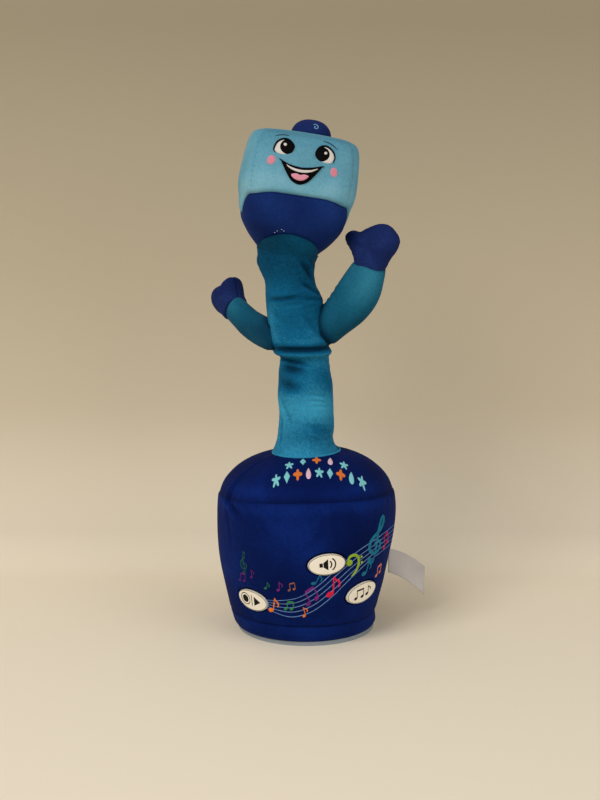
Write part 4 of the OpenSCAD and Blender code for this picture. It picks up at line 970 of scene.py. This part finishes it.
# lightness of the box's pile: random unevenness, painted shade that is darker on its right and lighter on
# its left, towards the key lamp, lighter just above the seam to the tapered part and darker towards the top
box_nap_and_painted_shade = 0.46 + 0.14 * unevenness(head_around, box_z, 83) - 0.06 * np.cos(head_around)
box_nap_and_painted_shade = box_nap_and_painted_shade + 0.24 * hill(box_z - taper_top - 6, 8) - 0.22 * step(box_z, 70, 92)
head_box = cloth_grid(
    "head_boxed_part", box_grid, head_plush, caps=(True, True),
    marks={"lift": np.concatenate([box_nap_and_painted_shade, np.full((crown_rows, head_cols), 0.35)]),
           "seam": np.concatenate([box_seam_shade, np.zeros((crown_rows, head_cols))])})
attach(head_box, "head")
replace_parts(head_box, "head_box")


# Knob: a little stuffed dome of navy plush, gathered at its foot and sewn to the top panel.
knob_r = 14.3
knob_h = 11.9
knob_off = 4.6
knob_base_z = 89.6
knob_cols = 96
knob_rows = 34
knob_around = turns(knob_cols)
knob_tilt = np.linspace(0, math.pi / 2 * 0.97, knob_rows)[:, None]


def knob_point(turn, tilt, lift=0.0):
    """A dome a little squarer than a ball, with a groove and puckers at its foot."""
    r = (knob_r + lift) * np.cos(tilt) ** 0.86 * (1 - 0.045 * hill(tilt, 0.13))
    r = r * (1 + 0.012 * np.cos(22 * turn) * np.exp(-tilt / 0.25) + 0.012 * unevenness(turn, 20 * tilt, 91))
    z = knob_base_z + (knob_h + lift) * np.sin(tilt) ** 0.95
    return head_place(round_points(r, turn, z) + (knob_off, 0.0, 0.0))


# its seam mark paints shade round the knob's gathered foot
knob = cloth_grid("head_knob_stuffed", knob_point(knob_around, knob_tilt), hand_plush, caps=(True, True),
                  marks={"lift": 0.45, "seam": 0.7 * hill(knob_tilt, 0.12)})
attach(knob, "head")
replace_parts(knob, "head_knob")


# Top of the sleeve: its last length is drawn up over the tapered part and sewn down by hand,
# highest in front.
sleeve_rows = 44
rise = np.linspace(0, 1, sleeve_rows)[:, None]
from_front = np.cos(stem_around - front - 0.05)
edge_rise = np.where(from_front > 0, 13.5, 5.0) * np.abs(from_front) ** 2.6
neck_low = cuts[5]
neck_foot_z = -9.9
neck_r = 20.9
neck_over = 1.5


def neck_sleeve(inward):
    """From the common sleeve surface below to the head's own surface above, eased one into the other."""
    low = stem_point(stem_around, neck_low + rise * 22.0, inward)
    turn = stem_around - head_turn
    z = neck_foot_z + rise * (head_foot_z + edge_rise - neck_foot_z)
    r = np.maximum(head_r(turn, np.maximum(z, head_foot_z)), neck_r) + neck_over
    r = np.minimum(r, neck_r + neck_over + 1.05 * (z - 7))
    r = np.where(z < head_foot_z, neck_r + 1.0 * step(z, 2, 8), r) - inward
    r = r + 0.3 * unevenness(stem_around, z, 45, most_turns=9)
    r = r + 0.25 * np.cos(26 * stem_around) * step(rise, 0.85, 1)
    high = head_place(round_points(r, turn, z))
    ease = step(rise, 0.30, 0.80)[..., None]
    return low * (1 - ease) + high * ease


# lightness of the sleeve's top, with the painted light and shade of the stem, and painted shade along its
# sewn edge
neck_nap_and_painted_light = stem_nap_and_painted_light(stem_around, neck_low + rise * 30)
neck_seam_shade = 0.75 * step(rise, 0.965, 1.0)
neck = band_of("stem_sleeve_neck", neck_sleeve(0.0), neck_sleeve(sleeve_t), stem_plush,
               neck_nap_and_painted_light, neck_seam_shade)
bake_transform(neck)
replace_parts(neck, "sleeve_6")


# Marks sewn or printed on the plush are thin closed solids laid on it. A flat cord follows a line,
# and a pad fills an outline. Each is drawn in millimetres to the right and up on its own surface.
def laid_cord(line, width, height, place, ring=False):
    """Flattened ellipses across a line: cosine across it, sine over it, sunk a little underneath."""
    line = np.asarray(line, float)
    if ring:
        ahead = np.roll(line, -1, 0) - np.roll(line, 1, 0)
    else:
        ahead = np.gradient(line, axis=0)
    ahead = ahead / np.linalg.norm(ahead, axis=1)[:, None]
    angle = np.linspace(0, 2 * math.pi, 10, endpoint=False)[None, :]
    half = np.broadcast_to(np.asarray(width, float) / 2, len(line))[:, None]
    u = line[:, :1] - ahead[:, 1:] * half * np.cos(angle)
    v = line[:, 1:] + ahead[:, :1] * half * np.cos(angle)
    lift = height * np.where(np.sin(angle) > 0, np.sin(angle), 0.9 * np.sin(angle))
    return place(u, v, lift), ring


def laid_pad(outline, height, place, edge=6.0):
    """An outline drawn in to its middle, over the top and back underneath: the rise is one less the
    share of the way out to a high power."""
    outline = np.asarray(outline, float)
    middle = outline.mean(0)
    under, over = np.array([0.3, 0.7, 1.0]), np.array([0.98, 0.93, 0.84, 0.7, 0.5, 0.3, 0.08])
    share = np.concatenate([under, over])[:, None]
    lift = np.concatenate([[-0.3, -0.3, -0.12], height * (1 - over ** edge)])[:, None]
    spot = middle + (outline[None, :, :] - middle) * share[..., None]
    return place(spot[..., 0], spot[..., 1], lift), False


def laid_marks(name, solids, material, body):
    """One piece from several laid solids, each a grid that is closed at its ends or into a ring."""
    points, faces, count = [], [], 0
    for grid, ring in solids:
        rows, cols = grid.shape[:2]
        points.append(grid.reshape(-1, 3))
        faces += (grid_faces(rows, cols, ring, True) + count).tolist()
        if not ring:
            faces.append([count + k for k in range(cols)][::-1])
            faces.append([count + (rows - 1) * cols + k for k in range(cols)])
        count += rows * cols
    piece = mesh_of(name, np.concatenate(points), faces, material=material)
    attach(piece, body)
    return piece


def arc_line(middle, radii, start, end, count=24, tilt=0.0):
    """Part of an ellipse between two angles in degrees."""
    angle = np.radians(np.linspace(start, end, count))
    c, s = math.cos(math.radians(tilt)), math.sin(math.radians(tilt))
    x, y = radii[0] * np.cos(angle), radii[1] * np.sin(angle)
    return np.stack([middle[0] + x * c - y * s, middle[1] + x * s + y * c], -1)


def oval_line(middle, radii, tilt=0.0, count=36):
    """A whole ellipse, left round."""
    return arc_line(middle, radii, 0, 360 - 360 / count, count, tilt)


def drawn(points, count=40):
    """An open smooth line through points."""
    points = np.asarray(points, float)
    places = np.arange(len(points))
    s = np.linspace(0, len(points) - 1, count)
    return np.stack([smooth_through(s, places, points[:, k]) for k in (0, 1)], -1)


def tapered(width, count=40, power=0.6):
    """A width along a line that swells from its ends to its middle as a power of a sine."""
    return width * np.maximum(np.sin(np.linspace(0, math.pi, count)), 0.0) ** power + 0.12


def straight(corners, count=8):
    """An outline with straight sides between its corners."""
    corners = np.asarray(corners, float)
    share = np.linspace(0, 1, count, endpoint=False)[:, None]
    return np.concatenate([a + (b - a) * share for a, b in zip(corners, np.roll(corners, -1, 0))])


stitch, stitch_in, stitch_out = group_of("satin_stitch", {"Thread": grey}, ("Color", "Height"))
stitch_where = place_of(stitch)
threads_per_m = 620.0
threads = node_of(stitch, "TexWave", {
    "Scale": threads_per_m, "Distortion": 2.2, "Detail": 1.0, "Detail Scale": 0.6, "Vector": stitch_where},
    bands_direction="Z").outputs["Fac"]
thread_tone = math_of(stitch, "ADD", math_of(stitch, "MULTIPLY", threads, 0.30),
                      math_of(stitch, "MULTIPLY", noise_of(stitch, stitch_where, 700.0, 2.0), 0.3))
put_all(stitch, stitch_out, {
    "Color": mix_of(stitch, math_of(stitch, "SUBTRACT", 0.62, thread_tone), stitch_in["Thread"],
                    (0.45, 0.45, 0.48, 1), "MULTIPLY"),
    "Height": threads})


def thread(name, colour, sheen=0.1, shine=0.2):
    """Satin-stitched embroidery thread of one colour."""
    return finish_from(name, stitch, {"Thread": shade(colour)}, 0.5, 0.0002, {
        "Roughness": 0.5, "Specular IOR Level": shine, "Sheen Weight": sheen})


white_thread = thread("white_thread", "#E9E2DA")
black_thread = thread("black_thread", "#030203", 0.0, 0.06)


# Face: embroidered on the front panel in satin stitch. Two open eyes with black pupils, thin
# brows, rosy cheeks and a laughing mouth with a row of teeth and a tongue.
def on_face(u, v, lift=0.0):
    """Points on the front panel, from distances right of and over the neck: the angle is found by
    turning until the surface lies that far right, and y is what the radius leaves."""
    u, v, lift = np.broadcast_arrays(u, v, lift)
    turn = np.full(u.shape, front)
    for _ in range(5):
        r = head_r(turn, v) + lift
        y = -np.sqrt(np.maximum(r * r - u * u, 1.0))
        turn = np.arctan2(y, u)
    return head_place(np.stack([u, y, v], -1))


def face_cord(points, width, height, count=40, power=0.6):
    """A swelling cord along a smooth line on the face."""
    return laid_cord(drawn(points, count), tapered(width, count, power), height, on_face)


eye_left = closed_line([(-21.7, 76.6), (-19.9, 74.6), (-15.0, 74.0), (-11.2, 75.6), (-9.1, 80.0),
                        (-12.4, 83.6), (-16.5, 83.8), (-20.2, 81.2)], 48)
eye_right = closed_line([(6.8, 77.5), (8.5, 74.2), (13.5, 72.5), (18.0, 73.2), (19.3, 77.0), (17.1, 80.8),
                         (12.7, 83.1), (8.6, 81.6)], 48)
face_whites = [
    laid_pad(eye_left, 0.45, on_face), laid_pad(eye_right, 0.45, on_face),
    laid_pad(oval_line((-14.9, 80.7), (1.35, 1.15)), 1.35, on_face),
    laid_pad(oval_line((13.0, 79.0), (1.25, 1.1)), 1.35, on_face),
    face_cord([(-12.3, 67.7), (-9.2, 66.0), (-5.4, 65.0), (-1.6, 64.7), (2.2, 65.1), (5.6, 66.0),
               (9.4, 67.9)], 2.1, 1.0)]
mouth_line = closed_line([
    (-16.4, 70.0), (-14.0, 67.2), (-10.6, 62.0), (-7.2, 58.3), (-2.4, 56.6), (2.6, 58.2), (6.6, 62.4),
    (9.8, 66.6), (12.2, 69.7), (9.0, 68.6), (5.2, 67.7), (1.6, 66.9), (-1.8, 66.6), (-5.6, 66.8),
    (-9.1, 67.4), (-13.0, 68.9)], 80)
face_blacks = [
    laid_pad(oval_line((-13.6, 79.3), (5.2, 4.9)), 0.85, on_face),
    laid_pad(oval_line((11.3, 77.9), (5.2, 4.9)), 0.85, on_face),
    face_cord([(-20.4, 74.4), (-22.1, 76.6), (-20.5, 81.5), (-16.6, 84.2), (-12.3, 83.9), (-8.7, 80.4),
               (-10.0, 76.2)], 1.3, 0.8, 48),
    face_cord([(7.6, 74.8), (6.4, 77.7), (8.4, 82.0), (12.7, 83.6), (17.4, 81.2), (19.6, 77.1),
               (18.8, 73.2)], 1.3, 0.8, 48),
    laid_pad(mouth_line, 0.55, on_face, 14.0),
    face_cord([(-17.6, 70.9), (-13.4, 68.7), (-9.1, 67.3), (-1.8, 66.5), (5.2, 67.5), (9.6, 68.8),
               (13.4, 70.1)], 1.35, 0.9, power=0.35),
    face_cord([(-16.2, 70.0), (-10.7, 61.9), (-7.2, 58.0), (-2.4, 56.2), (2.7, 57.9), (6.8, 62.3),
               (12.0, 69.5)], 1.0, 0.9, power=0.35)]
face_brows = [
    face_cord([(-22.4, 85.2), (-19.6, 86.4), (-16.2, 87.0), (-12.6, 86.9)], 0.75, 0.3, 24),
    face_cord([(10.2, 86.6), (13.6, 86.3), (17.4, 84.8), (20.8, 82.4)], 0.75, 0.3, 24)]
tongue_line = closed_line([(-9.0, 61.8), (-6.6, 59.0), (-2.2, 57.9), (1.8, 59.1), (4.6, 62.2), (1.0, 63.1),
                           (-2.0, 62.3), (-5.2, 63.1)], 40)
cheeks = [laid_pad(oval_line((-22.8, 69.2), (2.7, 3.2), -24), 0.4, on_face),
          laid_pad(oval_line((20.4, 67.2), (2.4, 3.2), 20), 0.4, on_face)]
laid_marks("face_white_stitching", face_whites, white_thread, "head")
laid_marks("face_black_stitching", face_blacks, black_thread, "head")
laid_marks("face_brow_stitching", face_brows, thread("brow_thread", "#1D4257"), "head")
laid_marks("face_tongue", [laid_pad(tongue_line, 1.0, on_face)], thread("tongue_thread", "#EE9DAE"),
           "head")
laid_marks("face_cheeks", cheeks, thread("cheek_thread", "#E88EA0"), "head")


# Small mark on the knob, and the loose white thread ends that show over the sleeve's sewn edge.
def on_knob(u, v, lift=0.0):
    """Points on the knob, from distances round it and up it, both as angles of its own radius."""
    return knob_point(front + head_turn + u / knob_r, v / knob_r, lift)


curl = [(-1.9, 8.8), (-0.4, 9.9), (1.3, 9.3), (2.1, 7.6), (1.4, 5.9), (-0.2, 5.6), (-0.9, 6.8), (0.0, 7.6)]
laid_marks("knob_mark", [laid_cord(drawn(np.array(curl) + (0.4, 1.2)), 0.8, 0.35, on_knob)],
           thread("knob_thread", "#7FB4D2"), "head")
specks = [laid_cord(drawn([(x - 0.3, z), (x, z + 0.2), (x + 0.3, z - 0.1)], 6), 0.36, 0.4, on_face)
          for x, z in ((-11.4, 22.4), (-7.0, 23.0), (-12.8, 21.0), (-8.6, 23.8))]
laid_marks("loose_thread_ends", specks, white_thread, "head")


# Printed staff: five pale lines that sweep round the drum from the lower left to the right, with
# bright notes on and over them. The print lies on the pile, so the plush shows through the ink.
print_r = 62.0


def on_side(u, v, lift=0.0):
    """Points on the drum's side, from a distance round it to the right of the front, and a height."""
    return on_cover(front + u / print_r, v, lift + 0.12, pockets=False)


printed, printed_in, printed_out = group_of(
    "ink_on_pile", {"Ink": grey, "Pile": black, "Cover": 0.8}, ("Color", "Height"))
ink_where = place_of(printed)
ink_tufts = noise_of(printed, ink_where, tufts_per_m, 2.0, 0.6)
bald_spots_per_m = 240.0
ink_patches = noise_of(printed, ink_where, bald_spots_per_m, 2.0, 0.5)
bare = math_of(printed, "MULTIPLY", math_of(printed, "ADD", ink_tufts, ink_patches), 0.9)
covered = math_of(printed, "SUBTRACT", math_of(printed, "ADD", printed_in["Cover"], 0.9), bare, clamp=True)
put_all(printed, printed_out, {
    "Color": mix_of(printed, covered, printed_in["Pile"], printed_in["Ink"]), "Height": ink_tufts})


def ink(name, colour, cover=0.8):
    """Ink of one colour printed on the navy pile, which it covers to that share."""
    return finish_from(name, printed, {"Ink": shade(colour), "Pile": shade("#0A1C55"), "Cover": cover},
                       0.4, 0.0004, {"Roughness": 0.85, "Specular IOR Level": 0.05})


staff_low = [(-36.0, 30.6), (-23.0, 25.6), (-10.0, 23.6), (4.0, 27.8), (18.0, 38.0), (32.0, 50.5),
             (48.0, 61.0), (66.0, 65.6), (86.0, 66.0)]
staff_high = [(-35.0, 34.4), (-20.0, 35.4), (-5.0, 39.0), (9.0, 48.4), (23.0, 61.0), (38.0, 71.0),
              (56.0, 77.0), (70.0, 79.2), (88.0, 79.4)]
staff = []
for share in np.linspace(0, 1, 5):
    line = (1 - share) * drawn(staff_low, 120) + share * drawn(staff_high, 120)
    staff.append(laid_cord(line, tapered(0.5, 120, 0.3), 0.16, on_side))
laid_marks("printed_staff", staff, ink("pale_blue_ink", "#7FA6DE", 0.62), "base")

quaver = ([oval_line((0.0, 0.0), (2.1, 1.5), 24, 20)],
          [([(1.7, 0.4), (1.9, 4.5), (2.1, 9.2)], 0.75),
           ([(2.1, 9.2), (3.0, 7.4), (4.7, 6.2), (5.0, 4.2), (4.3, 3.0)], 0.9)])
pair = ([oval_line((0.0, 0.0), (2.0, 1.4), 24, 20), oval_line((6.4, 0.9), (2.0, 1.4), 24, 20)],
        [([(1.7, 0.4), (1.8, 4.0), (1.9, 8.2)], 0.7), ([(8.1, 1.3), (8.2, 5.0), (8.3, 9.1)], 0.7),
         ([(1.7, 7.9), (5.0, 8.4), (8.5, 8.9)], 1.6)])
turned_clef = ([oval_line((-1.7, 1.2), (1.5, 1.4), 0, 20), oval_line((4.2, 1.9), (0.6, 0.6), 0, 12),
                oval_line((4.2, -0.7), (0.6, 0.6), 0, 12)],
               [([(-2.4, 1.6), (-1.4, 3.6), (0.8, 4.0), (2.6, 2.4), (2.6, -0.6), (1.0, -3.4), (-1.8, -5.4)],
                 1.1)])
high_clef = ([oval_line((-0.8, -3.7), (0.9, 0.8), 0, 14)],
             [([(-1.2, -3.4), (-0.2, -4.7), (0.9, -3.6), (0.5, 0.4), (-0.1, 4.4), (0.3, 8.0), (1.3, 9.6),
                (1.9, 8.2), (1.0, 5.8), (-1.1, 3.8), (-2.5, 1.8), (-2.1, -0.6), (0.1, -1.6), (2.1, -0.5),
                (2.3, 1.4), (0.9, 2.4), (-0.5, 1.6), (-0.4, 0.3)], 0.9)])
prints = [
    (quaver, -27.0, 27.4, 0.95, -8, "orange_ink", "#EF7A22", 0.95),
    (pair, -15.5, 29.2, 0.62, -4, "green_ink", "#3E9A3A", 0.7),
    (quaver, -1.5, 24.6, 0.62, 20, "orange_ink", "#EF7A22", 0.9),
    (pair, 1.5, 34.0, 0.95, 28, "purple_ink", "#8C2F86", 0.6),
    (quaver, 17.0, 40.5, 1.25, 4, "red_ink", "#E02648", 0.9),
    (turned_clef, 33.5, 61.0, 1.45, 12, "lime_ink", "#9DBB2A", 0.85),
    (high_clef, 52.0, 69.5, 2.1, -14, "teal_ink", "#23809A", 0.75),
    (quaver, 44.0, 52.0, 0.95, -8, "teal_ink", "#23809A", 0.7),
    (pair, 64.0, 67.4, 0.8, 24, "red_ink", "#E02648", 0.7),
    (pair, 59.5, 47.0, 0.66, 12, "coral_ink", "#E88B70", 0.9),
    (quaver, 5.0, 49.5, 0.75, -20, "teal_ink", "#23809A", 0.55),
    (pair, -12.0, 44.0, 0.5, 10, "amber_ink", "#B6703A", 0.6),
    (quaver, -20.0, 43.5, 0.6, 6, "purple_ink", "#8C2F86", 0.5),
    (quaver, -30.0, 43.5, 0.5, -10, "green_ink", "#3E9A3A", 0.4),
    (high_clef, -47.0, 57.0, 1.0, 0, "dim_green_ink", "#2F6B3C", 0.35),
    (quaver, -41.0, 50.0, 0.55, 10, "purple_ink", "#8C2F86", 0.35),
    (pair, -53.0, 45.6, 0.6, -6, "purple_ink", "#8C2F86", 0.35)]
inks = {}
note_parts = {}
for (heads, strokes), u, v, size, tilt, ink_name, colour, cover in prints:
    c, s = math.cos(math.radians(tilt)), math.sin(math.radians(tilt))
    spin = 1.15 * np.array([[c, s], [-s, c]])
    key = f"{ink_name}_{round(cover * 100)}"
    inks.setdefault(key, (colour, cover))
    parts = note_parts.setdefault(key, [])
    parts += [laid_pad(np.asarray(head) * size @ spin + (u, v), 0.24, on_side, 10.0) for head in heads]
    parts += [laid_cord(drawn(stroke, 30) * size @ spin + (u, v), tapered(1.35 * width * size, 30, 0.3),
                        0.22, on_side)
              for stroke, width in strokes]
for key, parts in note_parts.items():
    laid_marks(f"printed_notes_{key}", parts, ink(key, *inks[key]), "base")


# Stitched motifs: two arched rows of little stars, drops, lozenges and flowers on the front of the
# dome, in bright thread.
def on_dome(u, v, lift=0.0):
    """Points on the dome from its plan: the angle and share of the way out of each plan point."""
    turn = np.arctan2(v, u)
    return dome_point(turn, np.hypot(u, v) / cover_r(turn, seam_height(turn)), lift)


def star_line(points, deep, count=60):
    """A rounded star: its radius swings between one and deep as a cosine of the angle."""
    angle = np.linspace(0, 2 * math.pi, count, endpoint=False)
    radius = (1 + deep) / 2 + (1 - deep) / 2 * np.cos(points * (angle - math.pi / 2))
    return np.stack([radius * np.cos(angle), radius * np.sin(angle)], -1)


drop_angle = np.linspace(0, 2 * math.pi, 48, endpoint=False)
motifs = {
    "star": star_line(5, 0.42), "flower": star_line(4, 0.5), "drop": np.stack(
        [0.72 * np.sin(drop_angle) * np.sin(drop_angle / 2), np.cos(drop_angle)], -1)[::-1],
    "lozenge": straight([(0.0, -1.0), (0.68, 0.0), (0.0, 1.0), (-0.68, 0.0)], 12)}
aqua, orange, pink = "aqua", "orange", "pink"
dome_threads = {aqua: "#86D8DC", orange: "#F07A1E", pink: "#F1C6D4"}
# how many marks, from where to where across, the row's line in plan, and the colours
motif_rows = [
    (5, -12.0, 26.5, lambda x: -28.0 - 0.012 * (x - 12) ** 2, (aqua, aqua, orange, pink, aqua)),
    (9, -21.0, 39.0, lambda x: -48.0 + 0.135 * (x + 21),
     (aqua, aqua, orange, pink, aqua, aqua, orange, aqua, aqua))]
motif_size = (3.3, 5.4)
kinds = ("drop", "star", "lozenge", "flower")
dome_marks = {colour: [] for colour in dome_threads}
for count, start, end, row_y, colours in motif_rows:
    for k, (x, colour) in enumerate(zip(np.linspace(start, end, count), colours)):
        shape = motifs[kinds[(k + count) % 4]] * motif_size
        dome_marks[colour].append(laid_pad(shape + (x, row_y(x)), 0.7, on_dome, 5.0))
for colour, parts in dome_marks.items():
    laid_marks(f"dome_motifs_{colour}", parts, thread(f"{colour}_thread", dome_threads[colour]),
           "base")


# Three ovals of white felt over the press switches, each with a thin black rim and a plain sign:
# sound, recording and playing, and music.
def on_oval(name):
    """The place of marks on one oval, whose face follows the drum 0.6 mm out from it."""
    angle, height, tilt = ovals[name]
    c, s = math.cos(math.radians(tilt)), math.sin(math.radians(tilt))

    def place(u, v, lift=0.0):
        round_it, up = u * c - v * s, u * s + v * c
        turn = front + math.radians(angle) + round_it / side_r(height)
        z = height + up
        r = side_r(z) + oval_proud + lift
        return round_points(r, turn, z)
    return place


oval_proud = 0.6
sign_h = 0.14
rim_line = oval_line((0.0, 0.0), (oval_long / 2 - 0.35, oval_high / 2 - 0.35), 0, 90)
speaker_sign = ([straight([(-5.6, -1.5), (-3.2, -1.5), (-3.2, 1.5), (-5.6, 1.5)], 4),
                 straight([(-2.8, -1.7), (0.6, -4.2), (0.6, 4.2), (-2.8, 1.7)], 8)],
                [(arc_line((0.0, 0.0), (3.0, 3.0), -52, 52), 0.95),
                 (arc_line((0.2, 0.0), (5.6, 5.2), -54, 54), 0.95)])
record_sign = ([oval_line((-5.4, 0.1), (2.9, 2.9)), straight([(2.6, -3.5), (8.2, 0.1), (2.6, 3.7)], 10)],
               [(arc_line((-5.4, 0.1), (4.3, 4.3), 0, 352, 50), 0.6),
                ([(0.6, -4.0), (0.6, 0.1), (0.6, 4.2)], 0.6)])
music_sign = ([oval_line((-6.6, -2.6), (1.5, 1.1), 20), oval_line((-0.9, -2.6), (1.5, 1.1), 20),
               oval_line((3.6, -2.2), (1.5, 1.1), 20)],
              [([(-5.3, -2.4), (-5.3, 0.6), (-5.3, 3.4)], 0.55),
               ([(0.4, -2.4), (0.4, 0.6), (0.4, 3.4)], 0.55),
               ([(-5.5, 3.1), (-2.4, 3.1), (0.6, 3.1)], 1.3),
               ([(4.9, -2.0), (4.9, 1.0), (4.9, 3.8)], 0.55),
               ([(4.9, 3.8), (6.0, 2.4), (7.2, 1.4), (7.0, 0.2)], 0.7)])
sign_ink, sign_tree, sign_shader = finish_of("sign_ink")
sign_tone = mix_of(sign_tree, noise_of(sign_tree, place_of(sign_tree), 900.0, 2.0),
                   shade("#050505"), shade("#181616"))
put_all(sign_tree, sign_shader, {"Base Color": sign_tone, "Roughness": 0.8, "Specular IOR Level": 0.2})
for name, (pads, strokes) in (("left", record_sign), ("middle", speaker_sign), ("right", music_sign)):
    place = on_oval(name)
    parts = [laid_cord(rim_line, 0.34, sign_h, place, ring=True)]
    parts += [laid_pad(pad, sign_h, place, 12.0) for pad in pads]
    parts += [laid_cord(line if len(line) > 8 else drawn(line, 16), width, sign_h, place)
              for line, width in strokes]
    laid_marks(f"oval_sign_{name}", parts, sign_ink, f"button_{name}")


# Care tag: a doubled strip of plain white satin ribbon caught in the right-hand seam, which droops
# and turns back a little.
tag_turn = front + math.radians(97.0)
tag_z = 46.0
tag_wide = 19.0
tag_reach = 30.0
tag_droop = 18.5
tag_curl = 7.0
along = np.linspace(0, 1, 40)[:, None]
across = np.linspace(-0.5, 0.5, 20)[None, :]
tag_far = side_r(tag_z) - 0.6 + tag_reach * along * np.cos(0.25 * along)
tag_away = tag_curl * along ** 2 + 0.9 * np.sin(2.6 * along + 2.0 * across) * along
tag_high = tag_z + tag_wide * across * (0.95 + 0.22 * along) - tag_droop * along ** 1.5
tag_grid = np.stack([tag_far * math.cos(tag_turn) - tag_away * math.sin(tag_turn),
                     tag_far * math.sin(tag_turn) + tag_away * math.cos(tag_turn), tag_high], -1)
satin, satin_tree, satin_shader = finish_of("label_satin")
satin_where = place_of(satin_tree)
satin_weave = node_of(satin_tree, "TexWave", {"Scale": 900.0, "Distortion": 0.6, "Vector": satin_where},
                      bands_direction="Z").outputs["Fac"]
satin_tone = mix_of(satin_tree, noise_of(satin_tree, satin_where, 60.0, 2.0), shade("#ABA5A3"),
                    shade("#D2CDCA"))
put_all(satin_tree, satin_shader, {
    "Base Color": satin_tone, "Normal": bump_of(satin_tree, satin_weave, 0.3, 0.0001), "Roughness": 0.42})
tag = cloth_grid("care_tag_ribbon", tag_grid, satin, round_cols=False)
doubled = tag.modifiers.new("doubled", "SOLIDIFY")
doubled.thickness = 0.4 * MM
doubled.offset = 0.0
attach(tag, "base")
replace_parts(tag, "care_tag")


# Moulded, metal and paper pieces of the works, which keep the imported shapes: each gets a finish
# with a fine grain, a little wear in its tone and a roughness that varies with it.
grained, grained_in, grained_out = group_of(
    "grained_surface", {"Low": grey, "High": (0.6, 0.6, 0.6, 1), "Smoothest": 0.3, "Roughest": 0.5},
    ("Color", "Roughness", "Height"))
grained_where = place_of(grained)
grains_per_m = 2600.0
worn_spots_per_m = 90.0
wear = noise_of(grained, grained_where, worn_spots_per_m, 4.0, 0.6, 0.4)
rougher = math_of(grained, "SUBTRACT", grained_in["Roughest"], grained_in["Smoothest"])
put_all(grained, grained_out, {
    "Color": mix_of(grained, wear, grained_in["Low"], grained_in["High"]),
    "Roughness": math_of(grained, "ADD", grained_in["Smoothest"],
                         math_of(grained, "MULTIPLY", rougher, wear)),
    "Height": noise_of(grained, grained_where, grains_per_m, 2.0, 0.6)})


def surface(name, low, high, smoothest, roughest, depth, metallic=0.0):
    """A grained finish between two tones and two roughnesses, with a relief that deep in mm."""
    return finish_from(name, grained, {
        "Low": shade(low), "High": shade(high), "Smoothest": smoothest, "Roughest": roughest},
        0.35, depth * MM, {"Metallic": metallic})


works = [
    (surface("foot_plastic", "#7C858E", "#8F979E", 0.42, 0.6, 0.12), ["base_tub"]),
    (surface("grey_plastic", "#83898E", "#979CA0", 0.45, 0.62, 0.12),
     ["housing_cap", "battery_door", "gearbox_floor", "gearbox_cover"]),
    (surface("black_plastic", "#141416", "#212124", 0.4, 0.6, 0.1),
     ["slide_switch", "switch_knob", "speaker_basket", "button_switches"]),
    (surface("white_acetal", "#D2CEC2", "#DEDACF", 0.25, 0.4, 0.05),
     ["spine_root", "head_carrier", "motor_pinion", "compound_gear_1", "compound_gear_2", "output_gear"]
     + [f"spine_link_{k}" for k in range(1, 7)] + [f"plunger_{k}" for k in ovals]),
    (surface("bright_steel", "#9A9C9F", "#B4B6B8", 0.22, 0.4, 0.03, 1.0),
     ["housing_screws", "door_screw", "battery_contacts", "gear_axles", "drive_shaft", "button_springs",
      "motor_can"]),
    (surface("cell_jacket", "#3A4656", "#4A5768", 0.25, 0.4, 0.03), ["battery_cells"]),
    (surface("board_lacquer", "#0F4A26", "#16602F", 0.3, 0.45, 0.04), ["circuit_board"]),
    (surface("speaker_paper", "#161514", "#24221F", 0.75, 0.9, 0.15), ["speaker_cone"]),
    (surface("white_felt", "#F1E7D3", "#FAF1DF", 0.85, 0.95, 0.25), [f"oval_{k}" for k in ovals])]
for finish, nodes in works:
    for node in nodes:
        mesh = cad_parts[node].data
        mesh.materials.clear()
        mesh.materials.append(finish)


# Drive wire: a 2 mm steel wire up the hollow spine, turned by the drive shaft. It gives at every
# ball joint, so one straight length of it rides in each link, and round ends meet at the joints.
wire_r = 1.0
wire_foot_z = 102.0


def wire_length(name, low, high, body):
    """A round bar whose radius falls at both ends as the cosine of an angle that runs to its tip."""
    low, high = (np.array([x, 0.0, z]) for x, z in (low, high))
    ahead = (high - low) / np.linalg.norm(high - low)
    tip = np.radians([84.0, 56.0, 28.0, 0.0])[:, None]
    angle = turns(16)[..., None]
    level, side = np.array([ahead[2], 0.0, -ahead[0]]), np.array([0.0, 1.0, 0.0])
    spoke = level * np.cos(angle) + side * np.sin(angle)
    tip_along, tip_out = wire_r * np.sin(tip)[..., None], wire_r * np.cos(tip)[..., None]
    foot = low - tip_along * ahead + tip_out * spoke
    head = (high + tip_along * ahead + tip_out * spoke)[::-1]
    bar = (np.concatenate([foot, head]), False)
    return laid_marks(name, [bar], bpy.data.materials["bright_steel"], body)


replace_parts(wire_length("drive_wire_foot", (0.0, wire_foot_z), pivots[0], "drive"), "drive_wire")
for number in range(1, 7):
    wire_length(f"drive_wire_{number}", pivots[number - 1], pivots[number], links[number - 1])
